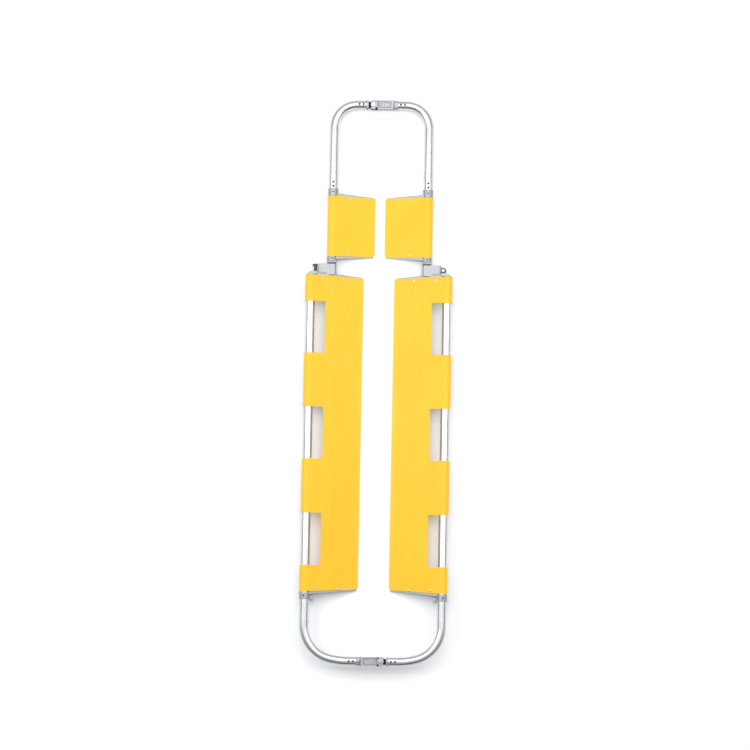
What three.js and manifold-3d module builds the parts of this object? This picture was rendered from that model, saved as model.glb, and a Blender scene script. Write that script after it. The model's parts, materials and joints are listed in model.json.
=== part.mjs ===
// Scoop stretcher: two mirrored halves that close under a patient from both sides. Each half has a bent side
// rail with a sloping blade, a slide tube that lengthens it, and a narrower foot section that folds over the
// blade. Millimetres, +Z up, +Y towards the foot end, X across. The origin is on the ground, midway along.
// Pieces of a half are drawn for x > 0 and mirrored for the left half.

import * as THREE from "three";
import { mergeVertices } from "three/addons/utils/BufferGeometryUtils.js";
import Module from "manifold-3d";

const wasm = await Module();
wasm.setup();

// ---- Driving dimensions ----

// Clearances
const seatGap = 0.3; // between two faces that rest on each other
const runGap = 0.3; // between two faces that slide or turn past each other

// Lengths along Y, from the head end to the foot end
const headLoopLength = 215;
const mainBladeLength = 951;
const housingReach = 34; // cast housing in front of the main blade
const flangeThickness = 5.4; // hinge flange on the slide tube's end
const nearCollarLength = 17.5;
const footBladeLength = 184;
const footLoopLength = 292.5;

// Side rail, an upright racetrack tube
const totalWidth = 440;
const railWidth = 27;
const railHeight = 34;
const tubeWall = 1.8;
const railZ = 43;

// Main blade
const bladeThickness = 2.2;
const bladeInnerX = 46;
const bladeInnerZ = 5.5;
const bladeFoldX = 130; // the blade's slope steepens here
const bladeFoldZ = 41.5;
const bladeLipDrop = 6; // how far the wrap runs down the outer side of its tube
const bladeHeadTaper = 12; // the inner edge is this much shorter at the head end
const bladeFootTaper = 5;
const bladeHeadCorner = 9; // the inner edge's corners are cut by this much
const bladeFootCorner = 2;
const handholdCount = 3;
const handholdLength = 155.5;
const handholdInnerX = 159;

// Foot section
const footWidth = 316;
const footTubeWidth = 26;
const footTubeHeight = 30;
const footTubeZ = 18;
const footBladeInnerX = 15;
const footBladeInnerZ = 4;
const footBladeTaper = 3;
const footBladeNearCorner = 5;
const footBladeFarCorner = 2;
const footSleeveY = 50; // the foot side tube runs this far past the far collar
const footSpigotReach = 46; // joining spigot, into each of the two tubes

// Loops at the ends
const headBendRadius = 100;
const headBendAngle = THREE.MathUtils.degToRad(75);
const footBendRadius = 68;
const couplerHalfSpan = 47.5;
const couplerSpigot = 26; // length of each end fitting inside its tube
const spigotClear = 1.5; // straight tube left beyond the spigot

// End brackets
const ribSeat = 17; // under the blade
const ribReachOuter = 8; // past the blade's end, beside the tube
const ribReachInner = 3; // past the blade's end, at the inner edge
const ribInset = 4; // the rib stops this far from the blade's inner edge
const collarWall = 1.8;
const headCollarLength = 21;
const postWidth = 12; // foot under the head collar, measured inwards from the rail
const farCollarLength = 23;
const nearWall = 3.6; // the near collar's closed front

// Slide tube and its housing
const slideWidth = 22;
const slideHeight = 26;
const slideLength = 524;
const slideHolePitch = 90;
const slideHoleCount = 5;
const slideHoleRadius = 3.4;
const bushWall = 1.5;
const guideLength = 54; // bore of the housing
const guideWall = 3.2;
const towerTopZ = 46;
const towerOuterX = 186;
const towerDraft = 6.5; // the inner wall leans out by this much towards the top
const towerChamfer = 5;
const capReach = 9; // cast cap over the side rail's end
const capShoulder = 2; // where the cap's slope starts, outside the rail's middle
const capHeight = 32;
const railSpigot = 30;
const stopLength = 16; // plug of the slide tube's end stop
const stopRim = 4;
const stopStep = 2; // the stop's rim is this much wider than the housing's bore

// Fold hinge
const foldZ = 45;
const knuckleRadius = 5.5;
const knuckleWidth = 10.4; // the foot section's middle knuckle
const foldPinRadius = 2.5;
const foldPinHead = 4.5;
const foldPinHeadWidth = 1.5;
const flangeRim = 1.5; // the hinge flange stands this far outside the slide tube
const slidePlug = 24; // length of the hinge flange's plug inside the slide tube

// Length lock: a lever that draws a sprung plunger
const lockY = 19; // behind the housing's front face
const barrelRadius = 5.3;
const barrelEndWall = 3;
const plungerStemRadius = 2.5;
const plungerNoseLength = 11;
const plungerDraw = 1.5; // how far a quarter turn of the lever draws the plunger
const leverHubRadius = 6.5;
const leverHubWidth = 10;
const leverHubEnd = 1.5; // closed end of the hub's bore
const leverArmRadius = 4.2;
const leverLength = 21; // hub centre to the end of its knob
const leverKnobRadius = 9.5;
const leverKnobLength = 7.5;
const leftLeverAngle = 0; // lying along the housing
const rightLeverAngle = THREE.MathUtils.degToRad(75); // standing up
const springWire = 0.7;
const springTurns = 5;

// Rivets through the blades
const rivetHeadRadius = 3.2;
const rivetHeadHeight = 1.3;
const rivetShankRadius = 1.5;
const rivetLength = 7.5;
const rivetOuterX = 169.5;
const rivetInnerX = 104.5;
const rivetInset = 10;
const footRivetX = 89.5;
const footRivetInset = 6;

// Coupler, drawn about its own middle, with its pivot towards -X and its tongue towards +X
const couplerWidth = 26.7;
const couplerHeight = 28;
const couplerBodyFrom = -34.5;
const couplerBodyTo = 35;
const clevisFace = -41.3;
const couplerCorner = 5;
const pivotX = -27.5;
const pivotRadius = 3.5;
const pivotHeadRadius = 7.6;
const pivotHeadHeight = 1.5;
const lugThickness = 10;
const lugRadius = 9;
const lugEndGap = 1.5; // behind the lug's round end, and behind the tongue's tip
const notchFrom = -20;
const notchTo = -14.5;
const notchDepth = 4;
const tongueTip = 6;
const tongueWidth = 14;
const tongueThickness = 9.4;
const tongueNose = 2.5; // chamfer at the tongue's tip
const catchDepth = 2.5;
const fittingStep = 1.4; // the end fittings are this much narrower and lower than the body
const fittingCorner = 6;
const socketSideGap = 1;
const leverFrom = -13.5;
const leverTo = 25.5;
const leverWidth = 16;
const leverCorner = 4;
const leverPlate = 4.2;
const leverSink = 0.4; // the release lever lies this far below the coupler's top
const leverPivotX = 6;
const trunnionRadius = 1.5;
const trunnionReach = 2;
const catchX = 18;
const catchLength = 8;
const catchWidth = 11;
const catchGap = 1; // the catch swings a little as the lever rocks
const pressBayTo = 3.6;
const pressRoom = 2.6; // free height under the pressed end of the release lever
const releaseSpringX = -7.5;
const releaseSpringRadius = 3;
const releaseSpringDepth = 9.6;

// Materials
const silver = { color: 0xd8dadd, roughness: 0.28, metalness: 0.9 };
const casting = { color: 0xb9b9c1, roughness: 0.5, metalness: 0.85 };
const yellow = { color: 0xfccf33, roughness: 0.45, metalness: 0.0 };
const steel = { color: 0x9b9ea6, roughness: 0.35, metalness: 0.95 };
const darkPlastic = { color: 0x3a3b44, roughness: 0.5, metalness: 0.0 };
const nylon = { color: 0xe8e6e0, roughness: 0.6, metalness: 0.0 };

// ---- Places worked out from the dimensions ----

const totalLength =
  headLoopLength + mainBladeLength + housingReach + flangeThickness + 2 * runGap +
  nearCollarLength + footBladeLength + footLoopLength;
const headEndY = -totalLength / 2;
const bladeHeadY = headEndY + headLoopLength;
const bladeFootY = bladeHeadY + mainBladeLength;
const housingFrontY = bladeFootY + housingReach;
const foldY = housingFrontY + flangeThickness + 2 * runGap;
const footBladeNearY = foldY + nearCollarLength;
const footBladeFarY = footBladeNearY + footBladeLength;
const footEndY = footBladeFarY + footLoopLength;

const bladeSkin = bladeThickness + seatGap;
const railX = totalWidth / 2 - bladeSkin - railWidth / 2;
const footTubeX = footWidth / 2 - bladeSkin - footTubeWidth / 2;
const headCrossY = headEndY + railWidth / 2;
const footCrossY = footEndY - footTubeWidth / 2;
const couplerEnd = couplerHalfSpan + seatGap;
const farCollarY = footBladeFarY + seatGap + farCollarLength;
const footSleeveEndY = farCollarY + footSleeveY;
const plungerY = housingFrontY - lockY;
const bushSpace = runGap + bushWall + seatGap;
const guideWidth = slideWidth + 2 * bushSpace;
const guideHeight = slideHeight + 2 * bushSpace;
const guideInnerX = footTubeX - guideWidth / 2 - guideWall;
const guideOuterX = footTubeX + guideWidth / 2 + guideWall;
const guideTopZ = footTubeZ + guideHeight / 2 + guideWall;

// ---- Solids ----

const mergeDistance = 1e-4;

function solidOf(geometry) {
  const loose = geometry.index ? geometry.toNonIndexed() : geometry;
  const bare = new THREE.BufferGeometry();
  bare.setAttribute("position", loose.getAttribute("position"));
  const merged = mergeVertices(bare, mergeDistance);
  return new wasm.Manifold(
    new wasm.Mesh({
      numProp: 3,
      vertProperties: merged.attributes.position.array,
      triVerts: new Uint32Array(merged.index.array),
    }),
  );
}

function geometryOf(solid) {
  const mesh = solid.getMesh();
  const geometry = new THREE.BufferGeometry();
  geometry.setAttribute("position", new THREE.BufferAttribute(mesh.vertProperties, 3));
  geometry.setIndex(new THREE.BufferAttribute(mesh.triVerts, 1));
  const faceted = geometry.toNonIndexed();
  faceted.computeVertexNormals();
  return faceted;
}

function join(first, ...others) {
  return geometryOf(others.reduce((all, g) => all.add(solidOf(g)), solidOf(first)));
}

function cut(body, ...tools) {
  return geometryOf(tools.reduce((left, g) => left.subtract(solidOf(g)), solidOf(body)));
}

function common(first, second) {
  return geometryOf(solidOf(first).intersect(solidOf(second)));
}

// ---- Outlines and prisms ----

const prismBases = {
  x: [new THREE.Vector3(0, 1, 0), new THREE.Vector3(0, 0, 1), new THREE.Vector3(1, 0, 0)],
  y: [new THREE.Vector3(1, 0, 0), new THREE.Vector3(0, 0, 1), new THREE.Vector3(0, -1, 0)],
  z: [new THREE.Vector3(1, 0, 0), new THREE.Vector3(0, 1, 0), new THREE.Vector3(0, 0, 1)],
};

// Extrudes an outline along an axis. The outline's two coordinates are the other two axes, in X, Y, Z order.
function prism(axis, shape, from, to, curveSegments = 2) {
  const options = { depth: to - from, bevelEnabled: false, curveSegments };
  const geometry = new THREE.ExtrudeGeometry(shape, options);
  geometry.applyMatrix4(new THREE.Matrix4().makeBasis(...prismBases[axis]));
  const start = new THREE.Vector3();
  start[axis] = axis === "y" ? to : from;
  return geometry.translate(start.x, start.y, start.z);
}

function polygon(points) {
  return new THREE.Shape(points.map(([a, b]) => new THREE.Vector2(a, b)));
}

function block(x, y, z) {
  const outline = polygon([[x[0], y[0]], [x[1], y[0]], [x[1], y[1]], [x[0], y[1]]]);
  return prism("z", outline, z[0], z[1]);
}

function span(half) {
  return [-half, half];
}

// A rectangle with round corners; with the largest radius it is a racetrack.
function roundedBox(width, height, radius, centreA = 0, centreB = 0) {
  const a = width / 2 - radius;
  const b = height / 2 - radius;
  const shape = new THREE.Shape();
  shape.absarc(centreA + a, centreB + b, radius, 0, Math.PI / 2);
  shape.absarc(centreA - a, centreB + b, radius, Math.PI / 2, Math.PI);
  shape.absarc(centreA - a, centreB - b, radius, Math.PI, 1.5 * Math.PI);
  shape.absarc(centreA + a, centreB - b, radius, 1.5 * Math.PI, 2 * Math.PI);
  return shape;
}

function racetrack(width, height, centreA = 0, centreB = 0) {
  return roundedBox(width, height, Math.min(width, height) / 2, centreA, centreB);
}

function ring(width, height, wall, centreA = 0, centreB = 0) {
  const shape = racetrack(width, height, centreA, centreB);
  shape.holes.push(racetrack(width - 2 * wall, height - 2 * wall, centreA, centreB));
  return shape;
}

// A round bar along an axis between two stations, centred on the two other coordinates.
function bar(axis, radius, from, to, centreA, centreB, sides = 12) {
  const circle = new THREE.Shape();
  circle.absarc(centreA, centreB, radius, 0, 2 * Math.PI);
  return prism(axis, circle, from, to, sides / 2);
}

// ---- Tubes that bend in a level plane ----

// A route of straight and round legs. Each leg has a whole number of steps, so a straight takes only one.
class LevelRoute extends THREE.Curve {
  constructor(legs, z) {
    super();
    this.legs = legs;
    this.z = z;
    this.steps = legs.reduce((sum, leg) => sum + leg.steps, 0);
  }

  locate(t) {
    let station = t * this.steps;
    const last = this.legs[this.legs.length - 1];
    for (const leg of this.legs) {
      if (station <= leg.steps || leg === last) return [leg.curve, Math.min(station / leg.steps, 1)];
      station -= leg.steps;
    }
    return [last.curve, 1];
  }

  getPoint(t, target = new THREE.Vector3()) {
    const [curve, part] = this.locate(t);
    const point = curve.getPoint(part);
    return target.set(point.x, point.y, this.z);
  }

  getTangent(t, target = new THREE.Vector3()) {
    const [curve, part] = this.locate(t);
    const tangent = curve.getTangent(part);
    return target.set(tangent.x, tangent.y, 0);
  }

  getPointAt(t, target) {
    return this.getPoint(t, target);
  }

  getTangentAt(t, target) {
    return this.getTangent(t, target);
  }
}

function straight(from, to) {
  return { curve: new THREE.LineCurve(new THREE.Vector2(...from), new THREE.Vector2(...to)), steps: 1 };
}

function bend(centre, radius, start, end, steps) {
  const clockwise = end < start;
  const curve = new THREE.EllipseCurve(centre[0], centre[1], radius, radius, start, end, clockwise);
  return { curve, steps };
}

function bentTube(route, width, height) {
  const options = { steps: route.steps, extrudePath: route, curveSegments: 2 };
  return new THREE.ExtrudeGeometry(ring(height, width, tubeWall), options);
}

// ---- Blades ----

// A blade wraps over its tube and leaves the wrap along a tangent towards the first fold.
const mainPanel = {
  wrapX: railX,
  wrapZ: railZ + (railHeight - railWidth) / 2,
  tubeRadius: railWidth / 2,
  folds: [[bladeFoldX, bladeFoldZ], [bladeInnerX, bladeInnerZ]],
};
const footPanel = {
  wrapX: footTubeX,
  wrapZ: footTubeZ + (footTubeHeight - footTubeWidth) / 2,
  tubeRadius: footTubeWidth / 2,
  folds: [[footBladeInnerX, footBladeInnerZ]],
};

function wrapSlope(panel) {
  const [x, z] = panel.folds[0];
  const across = panel.wrapX - x;
  const down = panel.wrapZ - z;
  const radius = panel.tubeRadius + bladeSkin;
  return Math.asin(radius / Math.hypot(across, down)) + Math.atan2(down, across);
}

// The upper surface from the wrap to the inner edge, moved down by an offset square to itself.
function panelLine(panel, offset) {
  const slope = wrapSlope(panel);
  const radius = panel.tubeRadius + bladeSkin;
  const leave = [panel.wrapX - radius * Math.sin(slope), panel.wrapZ + radius * Math.cos(slope)];
  const tops = [leave, ...panel.folds];
  const slopes = tops.slice(1).map(([x, z], i) => Math.atan2(tops[i][1] - z, tops[i][0] - x));
  return tops.map(([x, z], i) => {
    const before = slopes[Math.max(i - 1, 0)];
    const after = slopes[Math.min(i, slopes.length - 1)];
    const middle = (before + after) / 2;
    const reach = offset / Math.cos((after - before) / 2);
    return [x + reach * Math.sin(middle), z - reach * Math.cos(middle)];
  });
}

// Height and slope of a panel's upper surface at one x.
function panelAt(panel, x) {
  const line = panelLine(panel, 0);
  const index = line.findIndex((point, i) => i > 0 && x >= point[0]);
  const [x1, z1] = line[index - 1];
  const [x2, z2] = line[index];
  const slope = Math.atan2(z1 - z2, x1 - x2);
  return { z: z2 + (x - x2) * Math.tan(slope), slope };
}

function bladeSection(panel) {
  const leave = Math.PI / 2 + wrapSlope(panel);
  const outer = panel.tubeRadius + bladeSkin;
  const inner = panel.tubeRadius + seatGap;
  const lipZ = panel.wrapZ - bladeLipDrop;
  const shape = new THREE.Shape();
  shape.moveTo(panel.wrapX + outer, lipZ);
  shape.absarc(panel.wrapX, panel.wrapZ, outer, 0, leave);
  panelLine(panel, 0).slice(1).forEach(([x, z]) => shape.lineTo(x, z));
  panelLine(panel, bladeThickness).slice(1).reverse().forEach(([x, z]) => shape.lineTo(x, z));
  shape.absarc(panel.wrapX, panel.wrapZ, inner, leave, 0, true);
  shape.lineTo(panel.wrapX + inner, lipZ);
  return shape;
}

// The plan of a blade: its ends taper towards the inner edge, whose corners are cut, and the outer edge may
// have rectangular bays. Stations along Y run from low to high.
function bladePlan({ outerX, innerX, lowY, highY, tapers, corners, bays, bayX }) {
  const [lowFrom, highFrom] = [lowY + tapers[0], highY - tapers[1]];
  const [lowCorner, highCorner] = corners.map((corner) => corner + planMargin);
  const points = [[innerX, lowFrom + lowCorner], [innerX + lowCorner, lowFrom], [outerX, lowY]];
  bays.forEach(([from, to]) => points.push([outerX, from], [bayX, from], [bayX, to], [outerX, to]));
  points.push([outerX, highY], [innerX + highCorner, highFrom], [innerX, highFrom - highCorner]);
  return polygon(points);
}

function numbersTo(count) {
  return [...Array(count).keys()];
}

const planMargin = 5; // the plan overshoots the outer and inner edges by this much
const handholdPitch = mainBladeLength / handholdCount;
const handholds = numbersTo(handholdCount).map((i) => {
  const middle = bladeHeadY + handholdPitch * (i + 0.5);
  return [middle - handholdLength / 2, middle + handholdLength / 2];
});

function blade(panel, plan, lowY, highY) {
  const strip = prism("y", bladeSection(panel), lowY, highY, 3);
  return common(strip, prism("z", plan, -planMargin, panel.wrapZ + railHeight));
}

function mainBlade() {
  const plan = bladePlan({
    outerX: totalWidth / 2 + planMargin,
    innerX: bladeInnerX - planMargin,
    lowY: bladeHeadY,
    highY: bladeFootY,
    tapers: [bladeHeadTaper, bladeFootTaper],
    corners: [bladeHeadCorner, bladeFootCorner],
    bays: handholds,
    bayX: handholdInnerX,
  });
  return blade(mainPanel, plan, bladeHeadY, bladeFootY);
}

function footBlade() {
  const plan = bladePlan({
    outerX: footWidth / 2 + planMargin,
    innerX: footBladeInnerX - planMargin,
    lowY: footBladeNearY,
    highY: footBladeFarY,
    tapers: [footBladeTaper, footBladeTaper],
    corners: [footBladeNearCorner, footBladeFarCorner],
    bays: [],
  });
  return blade(footPanel, plan, footBladeNearY, footBladeFarY);
}

// ---- Rivets ----

// Sets a piece drawn along +Y, with the blade's surface at its origin, square on a panel.
function seatOnPanel(geometry, panel, x, y) {
  const { z, slope } = panelAt(panel, x);
  return geometry.rotateX(Math.PI / 2).rotateY(-slope).translate(x, y, z);
}

function rivet(panel, x, y) {
  const dome = [30, 60, 90].map((degrees) => {
    const angle = THREE.MathUtils.degToRad(degrees);
    return [rivetHeadRadius * Math.cos(angle), seatGap + rivetHeadHeight * Math.sin(angle)];
  });
  const profile = [
    [0, -rivetLength],
    [rivetShankRadius, -rivetLength],
    [rivetShankRadius, seatGap],
    [rivetHeadRadius, seatGap],
    ...dome.slice(0, -1),
    [0, seatGap + rivetHeadHeight],
  ];
  const points = profile.map(([r, h]) => new THREE.Vector2(r, h));
  return seatOnPanel(new THREE.LatheGeometry(points, 10), panel, x, y);
}

function rivetHole(panel, x, y) {
  const radius = rivetShankRadius + seatGap;
  const hole = new THREE.CylinderGeometry(radius, radius, 2 * (rivetLength + 1), 10);
  return seatOnPanel(hole, panel, x, y);
}

const mainRivets = [rivetOuterX, rivetInnerX].flatMap((x) => [
  { panel: mainPanel, x, y: bladeFootY - rivetInset - bladeThickness },
  { panel: mainPanel, x, y: bladeHeadY + rivetInset + bladeThickness },
]);
const footRivets = [
  { panel: footPanel, x: footRivetX, y: footBladeFarY - footRivetInset - bladeThickness },
  { panel: footPanel, x: footRivetX, y: footBladeNearY + footRivetInset + bladeThickness },
];

function drill(geometry, rivets) {
  return cut(geometry, ...rivets.map(({ panel, x, y }) => rivetHole(panel, x, y)));
}

// ---- End brackets ----

// A rib that carries one end of a blade: flat underneath, and following the blade's underside on top.
// outward is +1 where the blade's end faces +Y and -1 where it faces -Y.
function endRib({ panel, outerX, taper, endY, outward, edgeX }) {
  const innerX = panel.folds[panel.folds.length - 1][0];
  const line = panelLine(panel, bladeSkin);
  const section = polygon([...line, [line[line.length - 1][0], 0], [line[0][0], 0]]);
  const ribInnerX = innerX + ribInset;
  const endAt = (x) => endY - outward * taper * ((edgeX - x) / (edgeX - innerX));
  const plan = [
    [ribInnerX, endAt(ribInnerX) - outward * ribSeat],
    [outerX, endAt(outerX) - outward * ribSeat],
    [outerX, endAt(outerX) + outward * ribReachOuter],
    [ribInnerX, endAt(ribInnerX) + outward * ribReachInner],
  ];
  const reach = ribSeat + ribReachOuter + taper;
  const wall = prism("y", section, endY - reach, endY + reach);
  return common(wall, prism("z", polygon(plan), -1, panel.wrapZ + railHeight));
}

const railInnerX = railX - railWidth / 2 - seatGap;
const footTubeInnerX = footTubeX - footTubeWidth / 2 - seatGap;

// Clearance space round a tube, for cutting a collar's bore.
function tubeSpace(x, z, width, height, from, to) {
  return prism("y", racetrack(width + 2 * seatGap, height + 2 * seatGap, x, z), from, to);
}

function headBracket() {
  const wide = 2 * (seatGap + collarWall);
  const collarFrom = bladeHeadY - seatGap - headCollarLength;
  const collarTo = bladeHeadY - seatGap;
  const collarShape = racetrack(railWidth + wide, railHeight + wide, railX, railZ);
  const collar = prism("y", collarShape, collarFrom, collarTo);
  const rib = endRib({
    panel: mainPanel,
    outerX: railInnerX,
    taper: bladeHeadTaper,
    endY: bladeHeadY,
    outward: -1,
    edgeX: totalWidth / 2,
  });
  const post = block([railInnerX - postWidth, railX], [collarFrom, collarTo], [0, railZ]);
  const bore = tubeSpace(railX, railZ, railWidth, railHeight, collarFrom - 1, collarTo + 1);
  return drill(cut(join(collar, rib, post), bore), mainRivets);
}

function footCollar(from, to) {
  const wide = 2 * (seatGap + collarWall);
  return prism("y", racetrack(footTubeWidth + wide, 2 * footTubeZ, footTubeX, footTubeZ), from, to);
}

function footRib(endY, outward) {
  const edgeX = footWidth / 2;
  return endRib({ panel: footPanel, outerX: footTubeInnerX, taper: footBladeTaper, endY, outward, edgeX });
}

function farBracket() {
  const from = footBladeFarY + seatGap;
  const bore = tubeSpace(footTubeX, footTubeZ, footTubeWidth, footTubeHeight, from - 1, farCollarY + 1);
  return drill(cut(join(footCollar(from, farCollarY), footRib(footBladeFarY, 1)), bore), footRivets);
}

// ---- Fold hinge ----

const knuckleX = [footTubeX - knuckleWidth / 2, footTubeX + knuckleWidth / 2];
const flangeWidth = slideWidth + 2 * flangeRim;
const earSpans = [
  [footTubeX - flangeWidth / 2, knuckleX[0] - runGap],
  [knuckleX[1] + runGap, footTubeX + flangeWidth / 2],
];
const foldHole = bar("x", foldPinRadius + runGap, earSpans[0][0] - 1, earSpans[1][1] + 1, foldY, foldZ);

function nearBracket() {
  const from = foldY + runGap;
  const to = footBladeNearY - seatGap;
  const knuckle = bar("x", knuckleRadius, knuckleX[0], knuckleX[1], foldY, foldZ);
  const web = block(knuckleX, [from, foldY + knuckleRadius], [footTubeZ, foldZ]);
  const bore = tubeSpace(footTubeX, footTubeZ, footTubeWidth, footTubeHeight, from + nearWall, to + 1);
  const body = join(footCollar(from, to), footRib(footBladeNearY, -1), knuckle, web);
  return drill(cut(body, bore, foldHole), footRivets);
}

function slideEnd() {
  const from = housingFrontY + runGap;
  const to = foldY - runGap;
  const flangeShape = racetrack(flangeWidth, slideHeight + 2 * flangeRim, footTubeX, footTubeZ);
  const flange = prism("y", flangeShape, from, to);
  const inner = 2 * (tubeWall + seatGap);
  const plug = prism(
    "y",
    racetrack(slideWidth - inner, slideHeight - inner, footTubeX, footTubeZ),
    housingFrontY - slidePlug,
    from + 1,
  );
  const ears = earSpans.flatMap((earX) => [
    bar("x", knuckleRadius, earX[0], earX[1], foldY, foldZ),
    block(earX, [from, to], [footTubeZ, foldZ]),
  ]);
  return cut(join(flange, plug, ...ears), foldHole);
}

function foldPin() {
  const low = earSpans[0][0] - runGap;
  const high = earSpans[1][1] + runGap;
  return join(
    bar("x", foldPinRadius, low - foldPinHeadWidth, high + foldPinHeadWidth, foldY, foldZ),
    bar("x", foldPinHead, low - foldPinHeadWidth, low, foldY, foldZ),
    bar("x", foldPinHead, high, high + foldPinHeadWidth, foldY, foldZ),
  );
}

// ---- Housing, bush and slide tube ----

function housing() {
  const rearY = housingFrontY - guideLength;
  const frontFrom = bladeFootY + seatGap;
  const guide = block([guideInnerX, guideOuterX], [rearY, housingFrontY], [0, guideTopZ]);
  const towerSection = polygon([
    [guideInnerX, 0],
    [towerOuterX, 0],
    [towerOuterX, towerTopZ - towerChamfer],
    [towerOuterX - towerChamfer, towerTopZ],
    [guideInnerX + towerDraft, towerTopZ],
  ]);
  const tower = prism("y", towerSection, frontFrom, housingFrontY);
  const capPlan = polygon([
    [towerOuterX - 1, frontFrom],
    [railX + railWidth / 2 - 1, frontFrom],
    [railX + capShoulder, frontFrom + capReach],
    [towerOuterX - 1, frontFrom + capReach],
  ]);
  const cap = prism("z", capPlan, railZ - capHeight / 2, railZ + capHeight / 2);
  const inner = 2 * (tubeWall + seatGap);
  const spigotShape = racetrack(railWidth - inner, railHeight - inner, railX, railZ);
  const spigot = prism("y", spigotShape, frontFrom - railSpigot, frontFrom + 1);
  const rib = endRib({
    panel: mainPanel,
    outerX: railInnerX,
    taper: bladeFootTaper,
    endY: bladeFootY,
    outward: 1,
    edgeX: totalWidth / 2,
  });
  const bore = prism(
    "y",
    racetrack(guideWidth, guideHeight, footTubeX, footTubeZ),
    Math.min(rearY, bladeFootY - ribSeat - bladeFootTaper) - 1,
    housingFrontY + 1,
  );
  const barrel = bar("x", barrelRadius, footTubeX, towerOuterX - barrelEndWall, plungerY, footTubeZ);
  const stemHole = bar("x", plungerStemRadius + runGap, footTubeX, towerOuterX + 1, plungerY, footTubeZ);
  return drill(cut(join(guide, tower, cap, spigot, rib), bore, barrel, stemHole), mainRivets);
}

function guideBush() {
  const size = 2 * (runGap + bushWall);
  const shape = ring(slideWidth + size, slideHeight + size, bushWall, footTubeX, footTubeZ);
  const sleeve = prism("y", shape, housingFrontY - guideLength, housingFrontY - seatGap);
  const window = bar("x", barrelRadius, footTubeX, guideOuterX, plungerY, footTubeZ);
  return cut(sleeve, window);
}

const slideRearY = housingFrontY - slideLength;

function slideTube() {
  const section = ring(slideWidth, slideHeight, tubeWall, footTubeX, footTubeZ);
  const holes = numbersTo(slideHoleCount).map((i) =>
    bar("x", slideHoleRadius, footTubeX, guideOuterX, plungerY - i * slideHolePitch, footTubeZ, 8),
  );
  return cut(prism("y", section, slideRearY, housingFrontY), ...holes);
}

// A plug in the tube's rear end, whose rim is wider than the bore of the housing.
function slideStop() {
  const inner = 2 * (tubeWall + seatGap);
  const plugShape = racetrack(slideWidth - inner, slideHeight - inner, footTubeX, footTubeZ);
  const rimShape = racetrack(guideWidth + stopStep, guideHeight + stopStep, footTubeX, footTubeZ);
  return join(
    prism("y", plugShape, slideRearY - stopRim, slideRearY + stopLength),
    prism("y", rimShape, slideRearY - seatGap - stopRim, slideRearY - seatGap),
  );
}

// ---- Length lock ----

// Where the plunger's nose starts, for a lever turned by an angle.
function plungerNose(drawn) {
  return footTubeX + slideWidth / 2 + runGap + drawn;
}

function lockPlunger(drawn) {
  const nose = plungerNose(drawn);
  const stemEnd = towerOuterX + leverHubWidth - leverHubEnd - plungerDraw - runGap + drawn;
  return join(
    bar("x", barrelRadius - runGap, nose, nose + plungerNoseLength, plungerY, footTubeZ),
    bar("x", plungerStemRadius, nose + plungerNoseLength - 1, stemEnd, plungerY, footTubeZ),
  );
}

// A coil along its own Z from 0 to its length.
class Coil extends THREE.Curve {
  constructor(radius, length, turns) {
    super();
    Object.assign(this, { radius, length, turns });
  }

  getPoint(t, target = new THREE.Vector3()) {
    const angle = 2 * Math.PI * this.turns * t;
    return target.set(this.radius * Math.cos(angle), this.radius * Math.sin(angle), this.length * t);
  }
}

function coilSpring(radius, length) {
  const square = (springWire * Math.sqrt(Math.PI)) / 2;
  const wire = polygon([[-square, -square], [square, -square], [square, square], [-square, square]]);
  const path = new Coil(radius, length - 2 * springWire, springTurns);
  const options = { steps: springTurns * 8, extrudePath: path, bevelEnabled: false };
  return new THREE.ExtrudeGeometry(wire, options).translate(0, 0, springWire);
}

function lockSpring(drawn) {
  const from = plungerNose(drawn) + plungerNoseLength + seatGap;
  const to = towerOuterX - barrelEndWall - seatGap;
  const radius = (barrelRadius + plungerStemRadius) / 2;
  return coilSpring(radius, to - from).rotateY(Math.PI / 2).translate(from, plungerY, footTubeZ);
}

// The lever turns about the plunger's axis; at angle 0 its arm points to +Y and at 90 degrees it stands up.
// Its knob is flat on the side that passes the housing.
function lockLever(angle) {
  const faceX = towerOuterX + runGap;
  const middleX = faceX + leverHubWidth / 2;
  const hub = bar("x", leverHubRadius, faceX, faceX + leverHubWidth, 0, 0);
  const arm = bar("y", leverArmRadius, 0, leverLength - 1, middleX, 0, 10);
  const knob = bar("y", leverKnobRadius, leverLength - leverKnobLength, leverLength, middleX, 0, 16);
  const bore = bar("x", plungerStemRadius + runGap, towerOuterX, faceX + leverHubWidth - leverHubEnd, 0, 0);
  const housingSide = block([middleX - 2 * leverLength, faceX], span(2 * leverLength), span(2 * leverLength));
  const lever = cut(join(hub, arm, knob), bore, housingSide);
  return lever.rotateX(angle).translate(0, plungerY, footTubeZ);
}

// ---- Tubes ----

function sideRail() {
  const crossEndX = couplerEnd;
  const bendEndX = railX - headBendRadius * (1 - Math.cos(headBendAngle));
  const bowAngle = Math.PI / 2 - headBendAngle;
  const straightX = couplerHalfSpan + couplerSpigot + spigotClear;
  const bowRadius = (bendEndX - straightX) / Math.sin(bowAngle);
  const bowRise = bowRadius * (1 - Math.cos(bowAngle));
  const legEndY = headCrossY + headBendRadius * Math.sin(headBendAngle) + bowRise;
  const legs = [
    straight([railX, bladeFootY], [railX, legEndY]),
    bend([railX - headBendRadius, legEndY], headBendRadius, 0, -headBendAngle, 8),
    bend([straightX, headCrossY + bowRadius], bowRadius, -headBendAngle, -Math.PI / 2, 2),
    straight([straightX, headCrossY], [crossEndX, headCrossY]),
  ];
  return bentTube(new LevelRoute(legs, railZ), railWidth, railHeight);
}

function footSideTube() {
  const shape = ring(footTubeWidth, footTubeHeight, tubeWall, footTubeX, footTubeZ);
  return prism("y", shape, foldY + runGap + nearWall + seatGap, footSleeveEndY);
}

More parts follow.
